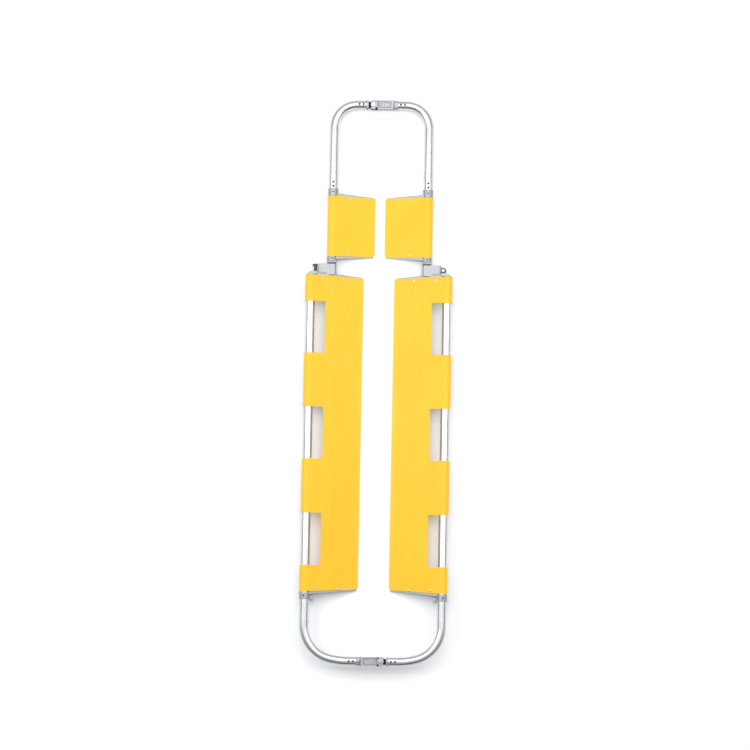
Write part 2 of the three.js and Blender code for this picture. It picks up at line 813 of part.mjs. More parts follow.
function footLoopTube() {
  const bendY = footCrossY - footBendRadius;
  const bendX = footTubeX - footBendRadius;
  const legs = [
    straight([footTubeX, footSleeveEndY + seatGap], [footTubeX, bendY]),
    bend([bendX, bendY], footBendRadius, 0, Math.PI / 2, 10),
    straight([bendX, footCrossY], [couplerEnd, footCrossY]),
  ];
  return bentTube(new LevelRoute(legs, footTubeZ), footTubeWidth, footTubeHeight);
}

// A hollow spigot inside the joint of the foot side tube and the foot loop.
function legSpigot() {
  const inner = 2 * (tubeWall + seatGap);
  const shape = ring(footTubeWidth - inner, footTubeHeight - inner, tubeWall, footTubeX, footTubeZ);
  return prism("y", shape, footSleeveEndY - footSpigotReach, footSleeveEndY + footSpigotReach);
}

// ---- Coupler ----

const couplerTop = couplerHeight / 2;
const lugTop = lugThickness / 2;
const tongueTop = tongueThickness / 2;
const leverTopZ = couplerTop - leverSink;
const leverUnderZ = leverTopZ - leverPlate;
const leverAxisZ = leverUnderZ + trunnionRadius;
const springFloorZ = leverUnderZ - releaseSpringDepth;
const through = 2 * couplerTop; // half a cut's length where it runs right through the coupler

function couplerBody() {
  const middleX = (couplerBodyFrom + couplerBodyTo + couplerCorner) / 2;
  const length = couplerBodyTo + couplerCorner - couplerBodyFrom;
  const body = prism("z", roundedBox(length, couplerWidth, couplerCorner, middleX), -couplerTop, couplerTop);
  const squareEnd = block([couplerBodyTo, couplerBodyTo + 2 * couplerCorner], span(through), span(through));
  const forkX = [couplerBodyFrom - couplerCorner, pivotX + lugRadius + lugEndGap];
  const fork = block(forkX, span(through), span(lugTop + runGap));
  const socketX = [tongueTip - lugEndGap, couplerBodyTo + couplerCorner];
  const socket = block(socketX, span(tongueWidth / 2 + socketSideGap), span(tongueTop + runGap));
  const recessY = span(leverWidth / 2 + runGap);
  const recessX = [leverFrom - runGap, leverTo + runGap];
  const recess = block(recessX, recessY, [leverUnderZ - runGap, through]);
  const pressBay = block([recessX[0], pressBayTo], recessY, [leverUnderZ - runGap - pressRoom, through]);
  const windowX = [catchX - catchLength / 2 - catchGap, catchX + catchLength / 2 + catchGap];
  const catchWindow = block(windowX, span(catchWidth / 2 + runGap), [0, couplerTop]);
  const pocketRadius = releaseSpringRadius + springWire + runGap;
  const pocket = bar("z", pocketRadius, springFloorZ, couplerTop, releaseSpringX, 0);
  const trunnionEnd = leverWidth / 2 + trunnionReach + runGap;
  const trunnions = bar("y", trunnionRadius + runGap, -trunnionEnd, trunnionEnd, leverPivotX, leverAxisZ, 10);
  const pivotHole = bar("z", pivotRadius + runGap, -through, through, pivotX, 0);
  const edge = couplerWidth / 2;
  const notches = [[edge - notchDepth, through], [-through, notchDepth - edge]].map((y) =>
    block([notchFrom, notchTo], y, span(through)),
  );
  const leverSpace = [recess, pressBay, catchWindow, pocket, trunnions];
  return cut(body, squareEnd, fork, socket, ...leverSpace, pivotHole, ...notches);
}

// A rocker: pressing its pivot end lifts the catch at its other end.
function releaseLever() {
  const middleX = (leverFrom + leverTo) / 2;
  const plateShape = roundedBox(leverTo - leverFrom, leverWidth, leverCorner, middleX);
  const plate = prism("z", plateShape, leverUnderZ, leverTopZ);
  const catchSpan = [catchX - catchLength / 2, catchX + catchLength / 2];
  const catchBlock = block(catchSpan, span(catchWidth / 2), [tongueTop + runGap, leverTopZ - 1]);
  const trunnionEnd = leverWidth / 2 + trunnionReach;
  const trunnions = bar("y", trunnionRadius, -trunnionEnd, trunnionEnd, leverPivotX, leverAxisZ, 10);
  return join(plate, catchBlock, trunnions);
}

function releaseSpring() {
  const bottom = springFloorZ + seatGap;
  const length = releaseSpringDepth - 2 * seatGap;
  return coilSpring(releaseSpringRadius, length).translate(releaseSpringX, 0, bottom);
}

function couplerPivot() {
  const head = couplerTop + runGap;
  return join(
    bar("z", pivotRadius, -head - pivotHeadHeight, head + pivotHeadHeight, pivotX, 0),
    bar("z", pivotHeadRadius, head, head + pivotHeadHeight, pivotX, 0, 16),
    bar("z", pivotHeadRadius, -head - pivotHeadHeight, -head, pivotX, 0, 16),
  );
}

// A block at the end of a tube, with a spigot inside it. Both run along +X from the face.
function endFitting(faceX, tube) {
  const inner = 2 * (tubeWall + seatGap);
  const face = roundedBox(couplerWidth - fittingStep, couplerHeight - fittingStep, fittingCorner);
  const spigot = racetrack(tube.width - inner, tube.height - inner);
  return join(
    prism("x", face, faceX, couplerHalfSpan),
    prism("x", spigot, faceX + 1, couplerHalfSpan + couplerSpigot),
  );
}

function couplerClevis(tube) {
  const fitting = endFitting(-clevisFace, tube).rotateZ(Math.PI);
  const neck = block([clevisFace - 1, pivotX], span(lugRadius), span(lugTop));
  const eye = bar("z", lugRadius, -lugTop, lugTop, pivotX, 0, 16);
  return cut(join(fitting, neck, eye), bar("z", pivotRadius + runGap, -through, through, pivotX, 0));
}

function couplerTongue(tube) {
  const faceX = couplerBodyTo + seatGap;
  const half = tongueWidth / 2;
  const plan = polygon([
    [tongueTip, tongueNose - half],
    [tongueTip + tongueNose, -half],
    [faceX + 1, -half],
    [faceX + 1, half],
    [tongueTip + tongueNose, half],
    [tongueTip, half - tongueNose],
  ]);
  const tongue = prism("z", plan, -tongueTop, tongueTop);
  const notchX = [catchX - catchLength / 2 - runGap, catchX + catchLength / 2 + runGap];
  const catchNotch = block(notchX, span(through), [tongueTop - catchDepth, through]);
  return join(endFitting(faceX, tube), cut(tongue, catchNotch));
}

// ---- Assembly ----

const finishes = { silver, casting, yellow, steel, darkPlastic, nylon };
const materials = Object.fromEntries(
  Object.entries(finishes).map(([name, values]) => [name, new THREE.MeshStandardMaterial(values)]),
);

function piece(name, geometry, finish) {
  const mesh = new THREE.Mesh(geometry, materials[finish]);
  mesh.name = name;
  return mesh;
}

function halfPieces(side, leverAngle) {
  const drawn = (plungerDraw * leverAngle) / (Math.PI / 2);
  const named = [
    ["side_rail", sideRail(), "silver"],
    ["main_blade", drill(mainBlade(), mainRivets), "yellow"],
    ["head_bracket", headBracket(), "casting"],
    ["slide_housing", housing(), "casting"],
    ["guide_bush", guideBush(), "nylon"],
    ["lock_plunger", lockPlunger(drawn), "steel"],
    ["lock_spring", lockSpring(drawn), "steel"],
    ["lock_lever", lockLever(leverAngle), "darkPlastic"],
    ["slide_tube", slideTube(), "silver"],
    ["slide_stop", slideStop(), "nylon"],
    ["slide_end", slideEnd(), "casting"],
    ["fold_pin", foldPin(), "steel"],
    ["near_bracket", nearBracket(), "casting"],
    ["foot_side_tube", footSideTube(), "silver"],
    ["foot_blade", drill(footBlade(), footRivets), "yellow"],
    ["far_bracket", farBracket(), "casting"],
    ["foot_loop_tube", footLoopTube(), "silver"],
    ["leg_spigot", legSpigot(), "silver"],
  ];
  const pieces = named.map(([name, geometry, finish]) => piece(side + "_" + name, geometry, finish));
  [...mainRivets, ...footRivets].forEach(({ panel, x, y }, i) => {
    pieces.push(piece(side + "_rivet_" + (i + 1), rivet(panel, x, y), "steel"));
  });
  return pieces;
}

function couplerPieces(end, tube) {
  return [
    piece(end + "_coupler_body", couplerBody(), "casting"),
    piece(end + "_coupler_clevis", couplerClevis(tube), "casting"),
    piece(end + "_coupler_pivot", couplerPivot(), "steel"),
    piece(end + "_coupler_tongue", couplerTongue(tube), "casting"),
    piece(end + "_release_lever", releaseLever(), "casting"),
    piece(end + "_release_spring", releaseSpring(), "steel"),
  ];
}

const stretcher = new THREE.Group();

const rightHalf = new THREE.Group();
rightHalf.add(...halfPieces("right", rightLeverAngle));

const leftHalf = new THREE.Group();
leftHalf.scale.x = -1;
leftHalf.add(...halfPieces("left", leftLeverAngle));

const footCoupler = new THREE.Group();
footCoupler.position.set(0, footCrossY, footTubeZ);
footCoupler.add(...couplerPieces("foot", { width: footTubeWidth, height: footTubeHeight }));

const headCoupler = new THREE.Group();
headCoupler.rotation.z = Math.PI;
headCoupler.position.set(0, headCrossY, railZ);
headCoupler.add(...couplerPieces("head", { width: railWidth, height: railHeight }));

stretcher.add(rightHalf, leftHalf, footCoupler, headCoupler);

export default stretcher;
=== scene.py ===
# %% [markdown]
# # A scoop stretcher
# A scoop stretcher is two long halves that close under a patient from both sides, so that nobody
# has to be rolled or lifted onto it. Each half is a bent tube with a sloping blade. A sliding,
# folding foot section makes it longer or shorter, and a coupling at each end holds the halves
# together.
#
# The working parts were drawn first, as solids with joints. This script loads those solids as a
# frame, and builds a finished piece round each one: tubes that are really hollow, blades with their
# ribs, castings with soft edges. Every place comes from the frame, so nothing has to be fitted.

import json
import math

import bmesh
import bpy
import numpy as np
from mathutils import Matrix, Vector


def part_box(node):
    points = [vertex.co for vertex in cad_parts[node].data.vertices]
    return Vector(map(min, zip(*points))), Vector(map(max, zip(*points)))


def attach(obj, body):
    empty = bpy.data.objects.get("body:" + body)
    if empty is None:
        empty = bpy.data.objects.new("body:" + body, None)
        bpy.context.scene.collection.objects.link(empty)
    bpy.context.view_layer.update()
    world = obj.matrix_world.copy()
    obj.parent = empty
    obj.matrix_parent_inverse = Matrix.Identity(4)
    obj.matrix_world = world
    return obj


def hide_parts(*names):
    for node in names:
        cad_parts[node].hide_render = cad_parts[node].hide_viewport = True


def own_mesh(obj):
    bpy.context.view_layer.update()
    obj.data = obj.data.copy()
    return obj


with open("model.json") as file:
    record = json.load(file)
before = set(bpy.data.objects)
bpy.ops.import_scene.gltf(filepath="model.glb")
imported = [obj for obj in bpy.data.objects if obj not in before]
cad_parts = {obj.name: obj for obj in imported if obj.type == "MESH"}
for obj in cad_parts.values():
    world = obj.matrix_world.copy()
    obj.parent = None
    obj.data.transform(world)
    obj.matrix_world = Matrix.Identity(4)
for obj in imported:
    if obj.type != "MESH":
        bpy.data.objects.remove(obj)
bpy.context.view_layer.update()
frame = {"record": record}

# %% [markdown]
# The record says which body each node rides on and which finish it takes. Reading both here means
# that a piece only has to name the node it stands for.

# %% Bodies and finishes of the nodes
MM = 0.001

BODIES = frame["record"]["behaviour"]["bodies"]
BODY_OF = {node: body for body, nodes in BODIES.items() for node in nodes}
SLOT_OF = {part["node"]: part["material_slot"] for part in frame["record"]["subparts"]}


def low(node):
    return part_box(node)[0]


def high(node):
    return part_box(node)[1]


print("bodies:", ", ".join(sorted(BODIES)))

# %% [markdown]
# ## Finishes
# Six finishes cover the stretcher. Each one is a node material: a surface colour that varies a
# little, a roughness that varies with it, and a fine bump at the scale that the real surface has.
# A small recipe class keeps the wiring readable. Numbers that are the same all over are set on the
# shader's own sockets.


# %% A recipe for a finish
class Recipe:
    """A material with one Principled shader, and short ways to add nodes to it."""

    def __init__(self, name, **sockets):
        self.material = bpy.data.materials.new(name)
        self.material.use_nodes = True
        self.tree = self.material.node_tree
        self.shader = self.tree.nodes["Principled BSDF"]
        for socket, value in sockets.items():
            self.shader.inputs[socket.replace("_", " ")].default_value = value

    def node(self, kind, settings=None, **inputs):
        """Adds a node. An input takes a plain value or another node's output."""
        made = self.tree.nodes.new("ShaderNode" + kind)
        for key, value in (settings or {}).items():
            setattr(made, key, value)
        for key, value in inputs.items():
            socket = made.inputs[key.replace("_", " ")]
            if isinstance(value, bpy.types.NodeSocket):
                self.tree.links.new(value, socket)
            else:
                socket.default_value = value
        return made

    def noise(self, place, scale, detail=3.0, roughness=0.55):
        made = self.node("TexNoise", Vector=place, Scale=scale, Detail=detail, Roughness=roughness)
        return made.outputs["Fac"]

    def spread(self, value, low_out, high_out, low_in=0.3, high_in=0.7):
        """Maps a noise value onto the range that a socket needs."""
        ends = {"From_Min": low_in, "From_Max": high_in, "To_Min": low_out, "To_Max": high_out}
        return self.node("MapRange", Value=value, **ends).outputs["Result"]

    def blend(self, factor, first, second):
        made = self.node("Mix", {"data_type": "RGBA"})
        for index, value in ((0, factor), (6, first), (7, second)):
            if isinstance(value, bpy.types.NodeSocket):
                self.tree.links.new(value, made.inputs[index])
            else:
                made.inputs[index].default_value = value
        return made.outputs[2]

    def bump(self, height, strength, distance, under=None):
        made = self.node("Bump", Height=height, Strength=strength, Distance=distance)
        if under is not None:
            self.tree.links.new(under, made.inputs["Normal"])
        return made.outputs["Normal"]

    def wire(self, **sockets):
        for name, output in sockets.items():
            self.tree.links.new(output, self.shader.inputs[name.replace("_", " ")])
        return self.material

    def grimed(self, colour, dark=(0.02, 0.021, 0.024, 1.0)):
        """Darkens a colour where the mesh stores painted shade: in slots, sockets and holes."""
        painted_shade = self.node("Attribute", {"attribute_name": "painted_shade"}).outputs["Fac"]
        return self.blend(painted_shade, colour, dark)


def grey(value, blue=0.0):
    return (value, value, value + blue, 1.0)


print("recipe ready")

# %% [markdown]
# ### Drawn tube
# Oval aluminium tube is drawn through a die, which leaves fine lines along its length, and is then
# anodised to a satin silver. The lines have to follow the bends. Each tube's mesh therefore stores
# where a point lay before bending, and the noise is stretched along that. A second, broad noise
# gives the cloudy smudges of a tube that is carried by hand.


# %% Drawn tube
def drawn_tube_finish():
    recipe = Recipe("drawn_tube", Metallic=1.0, Specular_IOR_Level=0.5)
    unbent = recipe.node("Attribute", {"attribute_name": "unbent"}).outputs["Vector"]
    stretched = recipe.node("Mapping", Vector=unbent, Scale=(1.0, 1.0, 0.012)).outputs["Vector"]
    lines = recipe.noise(stretched, 1400.0, detail=4.0)
    clouds = recipe.noise(unbent, 14.0, detail=5.0, roughness=0.6)
    scratches = recipe.noise(unbent, 95.0, detail=6.0, roughness=0.7)
    scuffs = recipe.spread(scratches, 0.0, 1.0, 0.62, 0.74)
    colour = recipe.blend(recipe.spread(clouds, 0.0, 1.0), grey(0.66, 0.014), grey(0.6, 0.016))
    colour = recipe.blend(recipe.spread(scuffs, 0.0, 0.35, 0.0, 1.0), colour, grey(0.48, 0.012))
    total = recipe.node("Math", {"operation": "ADD"})
    recipe.tree.links.new(recipe.spread(lines, 0.2, 0.34), total.inputs[0])
    recipe.tree.links.new(recipe.spread(scuffs, 0.0, 0.16, 0.0, 1.0), total.inputs[1])
    return recipe.wire(
        Base_Color=recipe.grimed(colour),
        Roughness=total.outputs["Value"],
        Normal=recipe.bump(lines, 0.1, 0.05 * MM),
    )


DRAWN_TUBE = drawn_tube_finish()
print("drawn tube:", len(DRAWN_TUBE.node_tree.nodes), "nodes")


# %% [markdown]
# ### Cast alloy
# The brackets, housings and couplings are aluminium castings, shot-blasted to an even grey. Three
# noises make that surface: the blasted grain, the mottling of the melt, and a broad change in tone.
# Blender's pointiness value is high on an edge and low in a corner. It brightens the edges that
# rub, and darkens the corners with painted shade.


# %% Cast alloy
def cast_alloy_finish():
    recipe = Recipe("cast_alloy", Metallic=0.82, Specular_IOR_Level=0.5)
    place = recipe.node("TexCoord").outputs["Object"]
    grain = recipe.noise(place, 1500.0, detail=2.0)
    mottle = recipe.noise(place, 210.0, detail=4.0, roughness=0.65)
    tone = recipe.noise(place, 22.0, detail=2.0)
    edge = recipe.node("NewGeometry").outputs["Pointiness"]
    colour = recipe.blend(recipe.spread(mottle, 0.0, 1.0), grey(0.35, 0.025), grey(0.5, 0.03))
    colour = recipe.blend(recipe.spread(tone, 0.0, 0.4), colour, grey(0.38, 0.03))
    colour = recipe.blend(recipe.spread(edge, 0.0, 0.8, 0.515, 0.56), colour, grey(0.75, 0.01))
    # Painted shade: low pointiness darkens the inner corners.
    colour = recipe.blend(recipe.spread(edge, 0.55, 0.0, 0.42, 0.485), colour, grey(0.2, 0.0))
    # Where a mesh stores painted shade, the colour is darkened further.
    return recipe.wire(
        Base_Color=recipe.grimed(colour),
        Roughness=recipe.spread(mottle, 0.42, 0.58),
        Normal=recipe.bump(mottle, 0.16, 0.12 * MM, recipe.bump(grain, 0.25, 0.05 * MM)),
    )


CAST_ALLOY = cast_alloy_finish()
print("cast alloy:", len(CAST_ALLOY.node_tree.nodes), "nodes")


# %% [markdown]
# ### Yellow powder coat
# The blades are aluminium sheet with ribs rolled along them, powder-coated yellow so that they are
# seen at night. Powder melts into a skin with a fine orange peel. Sliding under people and over
# ground leaves faint matt streaks along the blade, which a noise stretched along Y gives.


# %% Yellow powder coat
def yellow_coat_finish():
    recipe = Recipe("yellow_powder_coat", Specular_IOR_Level=0.45)
    place = recipe.node("TexCoord").outputs["Object"]
    peel = recipe.noise(place, 900.0, detail=2.0)
    broad = recipe.noise(place, 5.0, detail=2.0)
    along = recipe.node("Mapping", Vector=place, Scale=(1.0, 0.03, 1.0)).outputs["Vector"]
    rubbing = recipe.noise(along, 420.0, detail=5.0, roughness=0.7)
    streaks = recipe.spread(rubbing, 0.0, 1.0, 0.6, 0.78)
    deep, pale, worn = (0.96, 0.545, 0.004, 1.0), (0.985, 0.578, 0.012, 1.0), (0.95, 0.6, 0.07, 1.0)
    colour = recipe.blend(recipe.spread(broad, 0.0, 1.0), deep, pale)
    colour = recipe.blend(recipe.spread(streaks, 0.0, 0.22, 0.0, 1.0), colour, worn)
    return recipe.wire(
        Base_Color=colour,
        Roughness=recipe.spread(streaks, 0.38, 0.56, 0.0, 1.0),
        Normal=recipe.bump(peel, 0.12, 0.06 * MM),
    )


YELLOW_COAT = yellow_coat_finish()
print("yellow powder coat:", len(YELLOW_COAT.node_tree.nodes), "nodes")


# %% [markdown]
# ### Plated steel
# Rivets, pins and springs are zinc-plated steel, bright with a slightly uneven plating. They are
# small, so a fine noise for the plating and a broader one for its haze are enough. A metal takes
# most of its look from what it reflects, and its roughness decides how sharply.


# %% Plated steel
def plated_steel_finish():
    recipe = Recipe("plated_steel", Metallic=1.0)
    place = recipe.node("TexCoord").outputs["Object"]
    plating = recipe.noise(place, 700.0, detail=4.0)
    haze = recipe.noise(place, 90.0, detail=3.0)
    colour = recipe.blend(recipe.spread(haze, 0.0, 1.0), grey(0.66, 0.02), grey(0.52, 0.035))
    # Where a mesh stores painted shade, in rivet pockets, screw sockets and round the pivot, the colour is
    # darkened.
    return recipe.wire(
        Base_Color=recipe.grimed(colour),
        Roughness=recipe.spread(plating, 0.2, 0.36),
        Normal=recipe.bump(plating, 0.12, 0.03 * MM),
    )


PLATED_STEEL = plated_steel_finish()
print("plated steel:", len(PLATED_STEEL.node_tree.nodes), "nodes")

# %% [markdown]
# ### Lever plastic and nylon
# The lock levers are moulded in dark plastic, with a fine grain from the mould that wears pale on
# the edges. The bushes and stops are natural nylon, which is smooth and takes grey marks from the
# metal that slides in it. Neither is metallic, so the colour does most of the work.


# %% Lever plastic and nylon
def lever_plastic_finish():
    recipe = Recipe("lever_plastic", Specular_IOR_Level=0.5)
    place = recipe.node("TexCoord").outputs["Object"]
    grain = recipe.noise(place, 2200.0, detail=2.0)
    rubbed = recipe.noise(place, 160.0, detail=4.0)
    edge = recipe.node("NewGeometry").outputs["Pointiness"]
    colour = recipe.blend(recipe.spread(rubbed, 0.0, 1.0), grey(0.075, 0.016), grey(0.1, 0.018))
    colour = recipe.blend(recipe.spread(edge, 0.0, 0.6, 0.52, 0.58), colour, grey(0.22, 0.02))
    return recipe.wire(
        Base_Color=colour,
        Roughness=recipe.spread(rubbed, 0.4, 0.55),
        Normal=recipe.bump(grain, 0.3, 0.04 * MM),
    )


def nylon_finish():
    recipe = Recipe("nylon", Specular_IOR_Level=0.5)
    place = recipe.node("TexCoord").outputs["Object"]
    rubbed = recipe.noise(place, 120.0, detail=5.0, roughness=0.65)
    fine = recipe.noise(place, 1300.0, detail=2.0)
    marks = recipe.spread(rubbed, 0.0, 0.45, 0.5, 0.72)
    colour = recipe.blend(marks, (0.8, 0.77, 0.7, 1.0), (0.42, 0.42, 0.42, 1.0))
    return recipe.wire(
        Base_Color=colour,
        Roughness=recipe.spread(rubbed, 0.36, 0.5),
        Normal=recipe.bump(fine, 0.1, 0.03 * MM),
    )


FINISHES = {
    "tube_silver": DRAWN_TUBE,
    "cast_alloy": CAST_ALLOY,
    "blade_yellow": YELLOW_COAT,
    "steel": PLATED_STEEL,
    "lever_plastic": lever_plastic_finish(),
    "nylon": nylon_finish(),
}
print("finishes:", ", ".join(FINISHES))

# %% [markdown]
# ## Making and placing pieces
# Each piece is a mesh made in place, in metres. Placing it gives the mesh the finish that the record
# names for its node, shades it smooth except across real edges, lets it ride on its body, and hides
# the node that it stands for. The left half is the right half mirrored, so most pieces are made
# once.

# %% Placing a piece
SHARP_ANGLE = math.radians(32)


def dress(name, mesh, slot, body, sharp=SHARP_ANGLE):
    mesh.materials.clear()
    mesh.materials.append(FINISHES[slot])
    mesh.shade_smooth()
    mesh.set_sharp_from_angle(angle=sharp)
    piece = bpy.data.objects.new(name, mesh)
    bpy.context.scene.collection.objects.link(piece)
    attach(piece, body)
    return piece


def place(name, mesh, node, sharp=SHARP_ANGLE):
    """A finished piece that stands for one node of the frame."""
    piece = dress(name, mesh, SLOT_OF[node], BODY_OF[node], sharp)
    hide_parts(node)
    return piece


def soiled(mesh, amount_at):
    """Stores painted shade on a mesh. amount_at gives 0 to 1 for a vertex position."""
    store = mesh.attributes.new("painted_shade", "FLOAT", "POINT")
    store.data.foreach_set("value", [amount_at(vert.co) for vert in mesh.vertices])
    return mesh


def mirrored(mesh):
    copy = mesh.copy()
    copy.transform(Matrix.Scale(-1.0, 4, (1.0, 0.0, 0.0)))
    copy.flip_normals()
    return copy


def place_pair(part, mesh, sharp=SHARP_ANGLE):
    """The same piece on both halves. It is drawn on the right one."""
    place(part + ".left", mirrored(mesh), "left_" + part, sharp)
    place(part + ".right", mesh, "right_" + part, sharp)
    print(part, "both sides,", len(mesh.polygons), "faces each")


# %% [markdown]
# ### Outlines and prisms
# Machined and cast parts start from outlines: a rectangle with round corners, or an oval whose ends
# are half circles, called a racetrack here.


# %% Outlines
def arc(centre, radius, start, end, steps):
    """Points along a circle from one angle to another, in degrees, with both ends."""
    angles = np.radians(np.linspace(start, end, steps + 1))
    return [(centre[0] + radius * math.cos(a), centre[1] + radius * math.sin(a)) for a in angles]


def rounded(width, height, radius, centre=(0.0, 0.0), steps=8):
    a, b = width / 2 - radius, height / 2 - radius
    corners = ((a, b, 0), (-a, b, 90), (-a, -b, 180), (a, -b, 270))
    points = []
    for x, y, turn in corners:
        points += arc((centre[0] + x, centre[1] + y), radius, turn, turn + 90, steps)
    return [p for p, q in zip(points, points[1:] + points[:1]) if math.dist(p, q) > 1e-7]


def racetrack(width, height, centre=(0.0, 0.0), steps=10):
    return rounded(width, height, min(width, height) / 2, centre, steps)


def circle(radius, centre=(0.0, 0.0), steps=32):
    return arc(centre, radius, 0, 360, steps)[:-1]


print("a racetrack outline has", len(racetrack(2.0, 3.0)), "points")

# %% [markdown]
# A prism runs an outline along X, Y or Z. The outline's two numbers are the two other coordinates,
# in X, Y, Z order. A turned part spins a profile about one of those axes.

# %% Prisms and turned parts
AXIS_INDEX = {"x": 0, "y": 1, "z": 2}


def on_axis(axis, station, a, b):
    """A point at a station along one axis, with the two other coordinates in X, Y, Z order."""
    point = [a, b]
    point.insert(AXIS_INDEX[axis], station)
    return point


def mesh_from(bm, name="work"):
    bmesh.ops.recalc_face_normals(bm, faces=bm.faces[:])
    mesh = bpy.data.meshes.new(name)
    bm.to_mesh(mesh)
    bm.free()
    return mesh


def prism(axis, outline, start, end):
    bm = bmesh.new()
    near, far = ([bm.verts.new(on_axis(axis, s, a, b)) for a, b in outline] for s in (start, end))
    bm.faces.new(near)
    bm.faces.new(far)
    for i in range(len(outline)):
        j = (i + 1) % len(outline)
        bm.faces.new((near[i], near[j], far[j], far[i]))
    return mesh_from(bm)


def block(x, y, z):
    return prism("z", [(x[0], y[0]), (x[1], y[0]), (x[1], y[1]), (x[0], y[1])], z[0], z[1])


def bar(axis, radius, start, end, centre, steps=32):
    return prism(axis, circle(radius, centre, steps), start, end)


def turned(axis, profile, centre, steps=40):
    """A turned part: (station, radius) pairs spun about an axis. A radius of 0 closes an end."""
    bm = bmesh.new()
    rings = []
    for station, radius in profile:
        around = [(0.0, 0.0)] if radius == 0 else circle(radius, steps=steps)
        spots = [on_axis(axis, station, centre[0] + a, centre[1] + b) for a, b in around]
        rings.append([bm.verts.new(spot) for spot in spots])
    for one, two in zip(rings, rings[1:]):
        for i in range(steps):
            j = (i + 1) % steps
            corners = [one[i % len(one)], one[j % len(one)], two[j % len(two)], two[i % len(two)]]
            bm.faces.new(list(dict.fromkeys(corners)))
    return mesh_from(bm)


print("shapes can run along", ", ".join(AXIS_INDEX))

# %% [markdown]
# ### Joining, cutting and softening
# Booleans join and cut closed meshes as a maker welds and mills. The names say what they do:
# joined, cut, and common for the part that two shapes share.


# %% Joining and cutting
def with_modifiers(mesh, *steps):
    """Applies modifiers to a mesh and gives the result. A step is (kind, settings)."""
    work = bpy.data.objects.new("work", mesh)
    bpy.context.scene.collection.objects.link(work)
    for kind, settings in steps:
        modifier = work.modifiers.new(kind.lower(), kind)
        for key, value in settings.items():
            setattr(modifier, key, value)
    bpy.context.view_layer.update()
    done = work.evaluated_get(bpy.context.evaluated_depsgraph_get())
    result = bpy.data.meshes.new_from_object(done)
    bpy.data.objects.remove(work)
    return result


def combined(operation, base, tools):
    workers = [bpy.data.objects.new("tool", tool) for tool in tools]
    steps = []
    for worker in workers:
        bpy.context.scene.collection.objects.link(worker)
        steps.append(("BOOLEAN", {"operation": operation, "object": worker, "solver": "MANIFOLD"}))
    result = with_modifiers(base, *steps)
    for worker in workers:
        bpy.data.objects.remove(worker)
    return result


def joined(base, *tools):
    return combined("UNION", base, tools)


def cut(base, *tools):
    return combined("DIFFERENCE", base, tools)


def common(base, *tools):
    return combined("INTERSECT", base, tools)


print("booleans ready")

# %% [markdown]
# A casting has no sharp edges, so its mesh is rebuilt on a fine voxel grid and relaxed a little.
# That rounds every edge and fills every inner corner, as the sand or the die does, whatever the
# shape. It costs faces, so only cast and moulded parts get it. Other parts get a small bevel where
# they need one.


# %% Softening
def softened(mesh, voxel=0.8 * MM, passes=3):
    return with_modifiers(
        mesh,
        ("REMESH", {"mode": "VOXEL", "voxel_size": voxel}),
        ("SMOOTH", {"factor": 0.5, "iterations": passes}),
    )


def bevelled(mesh, width, angle=50.0, segments=2):
    settings = {
        "width": width,
        "segments": segments,
        "limit_method": "ANGLE",
        "angle_limit": math.radians(angle),
        "use_clamp_overlap": True,
    }
    return with_modifiers(mesh, ("BEVEL", settings))


def gathered(*meshes):
    """Several meshes as one, without a boolean, for trim that doesn't overlap."""
    bm = bmesh.new()
    for mesh in meshes:
        bm.from_mesh(mesh)
    mesh = bpy.data.meshes.new("gathered")
    bm.to_mesh(mesh)
    bm.free()
    return mesh


print("softening ready")

# %% [markdown]
# ## The tubes
# All the tubes are hollow ovals: a racetrack outline inside another one. A bent tube sweeps that
# outline along a route of straights and bends. The section is set square to the route at every
# step. The mesh also remembers where each point was before bending, which the drawn-tube finish
# uses for its lines.

# %% Sizes of the tubes, read from the frame
TUBE_WALL = 1.8 * MM
RAIL_LOW, RAIL_HIGH = low("right_side_rail"), high("right_side_rail")
RAIL_HEIGHT = RAIL_HIGH.z - RAIL_LOW.z
RAIL_WIDTH = 27 * MM
RAIL_X = RAIL_HIGH.x - RAIL_WIDTH / 2
RAIL_Z = (RAIL_LOW.z + RAIL_HIGH.z) / 2
LEG_LOW, LEG_HIGH = low("right_foot_side_tube"), high("right_foot_side_tube")
LEG_WIDTH, LEG_HEIGHT = LEG_HIGH.x - LEG_LOW.x, LEG_HIGH.z - LEG_LOW.z
LEG_X, LEG_Z = (LEG_LOW.x + LEG_HIGH.x) / 2, (LEG_LOW.z + LEG_HIGH.z) / 2
HEAD_CROSS_Y = RAIL_LOW.y + RAIL_WIDTH / 2
FOOT_CROSS_Y = high("right_foot_loop_tube").y - LEG_WIDTH / 2
print("rail", round(RAIL_WIDTH, 4), "by", round(RAIL_HEIGHT, 4))
print("leg", round(LEG_WIDTH, 4), "by", round(LEG_HEIGHT, 4))

# %% [markdown]
# A bent tube could be a curve with a bevel, but a bevelled curve has no wall and no softened rim.
# So the sweep is made by hand: rings of points go out along the outer skin, round the end, and back
# along the bore, and the last ring joins the first.


# %% A tube along a route
def route_bend(centre, radius, start, end, step=2.5):
    return arc(centre, radius, start, end, max(2, round(abs(end - start) / step)))


def route_straight(start, end, step=12 * MM):
    count = max(1, round(math.dist(start, end) / step))
    start, end = np.array(start), np.array(end)
    return [tuple(start + (end - start) * i / count) for i in range(count + 1)]


def without_repeats(points):
    return [p for i, p in enumerate(points) if i == 0 or math.dist(p, points[i - 1]) > 1e-6]


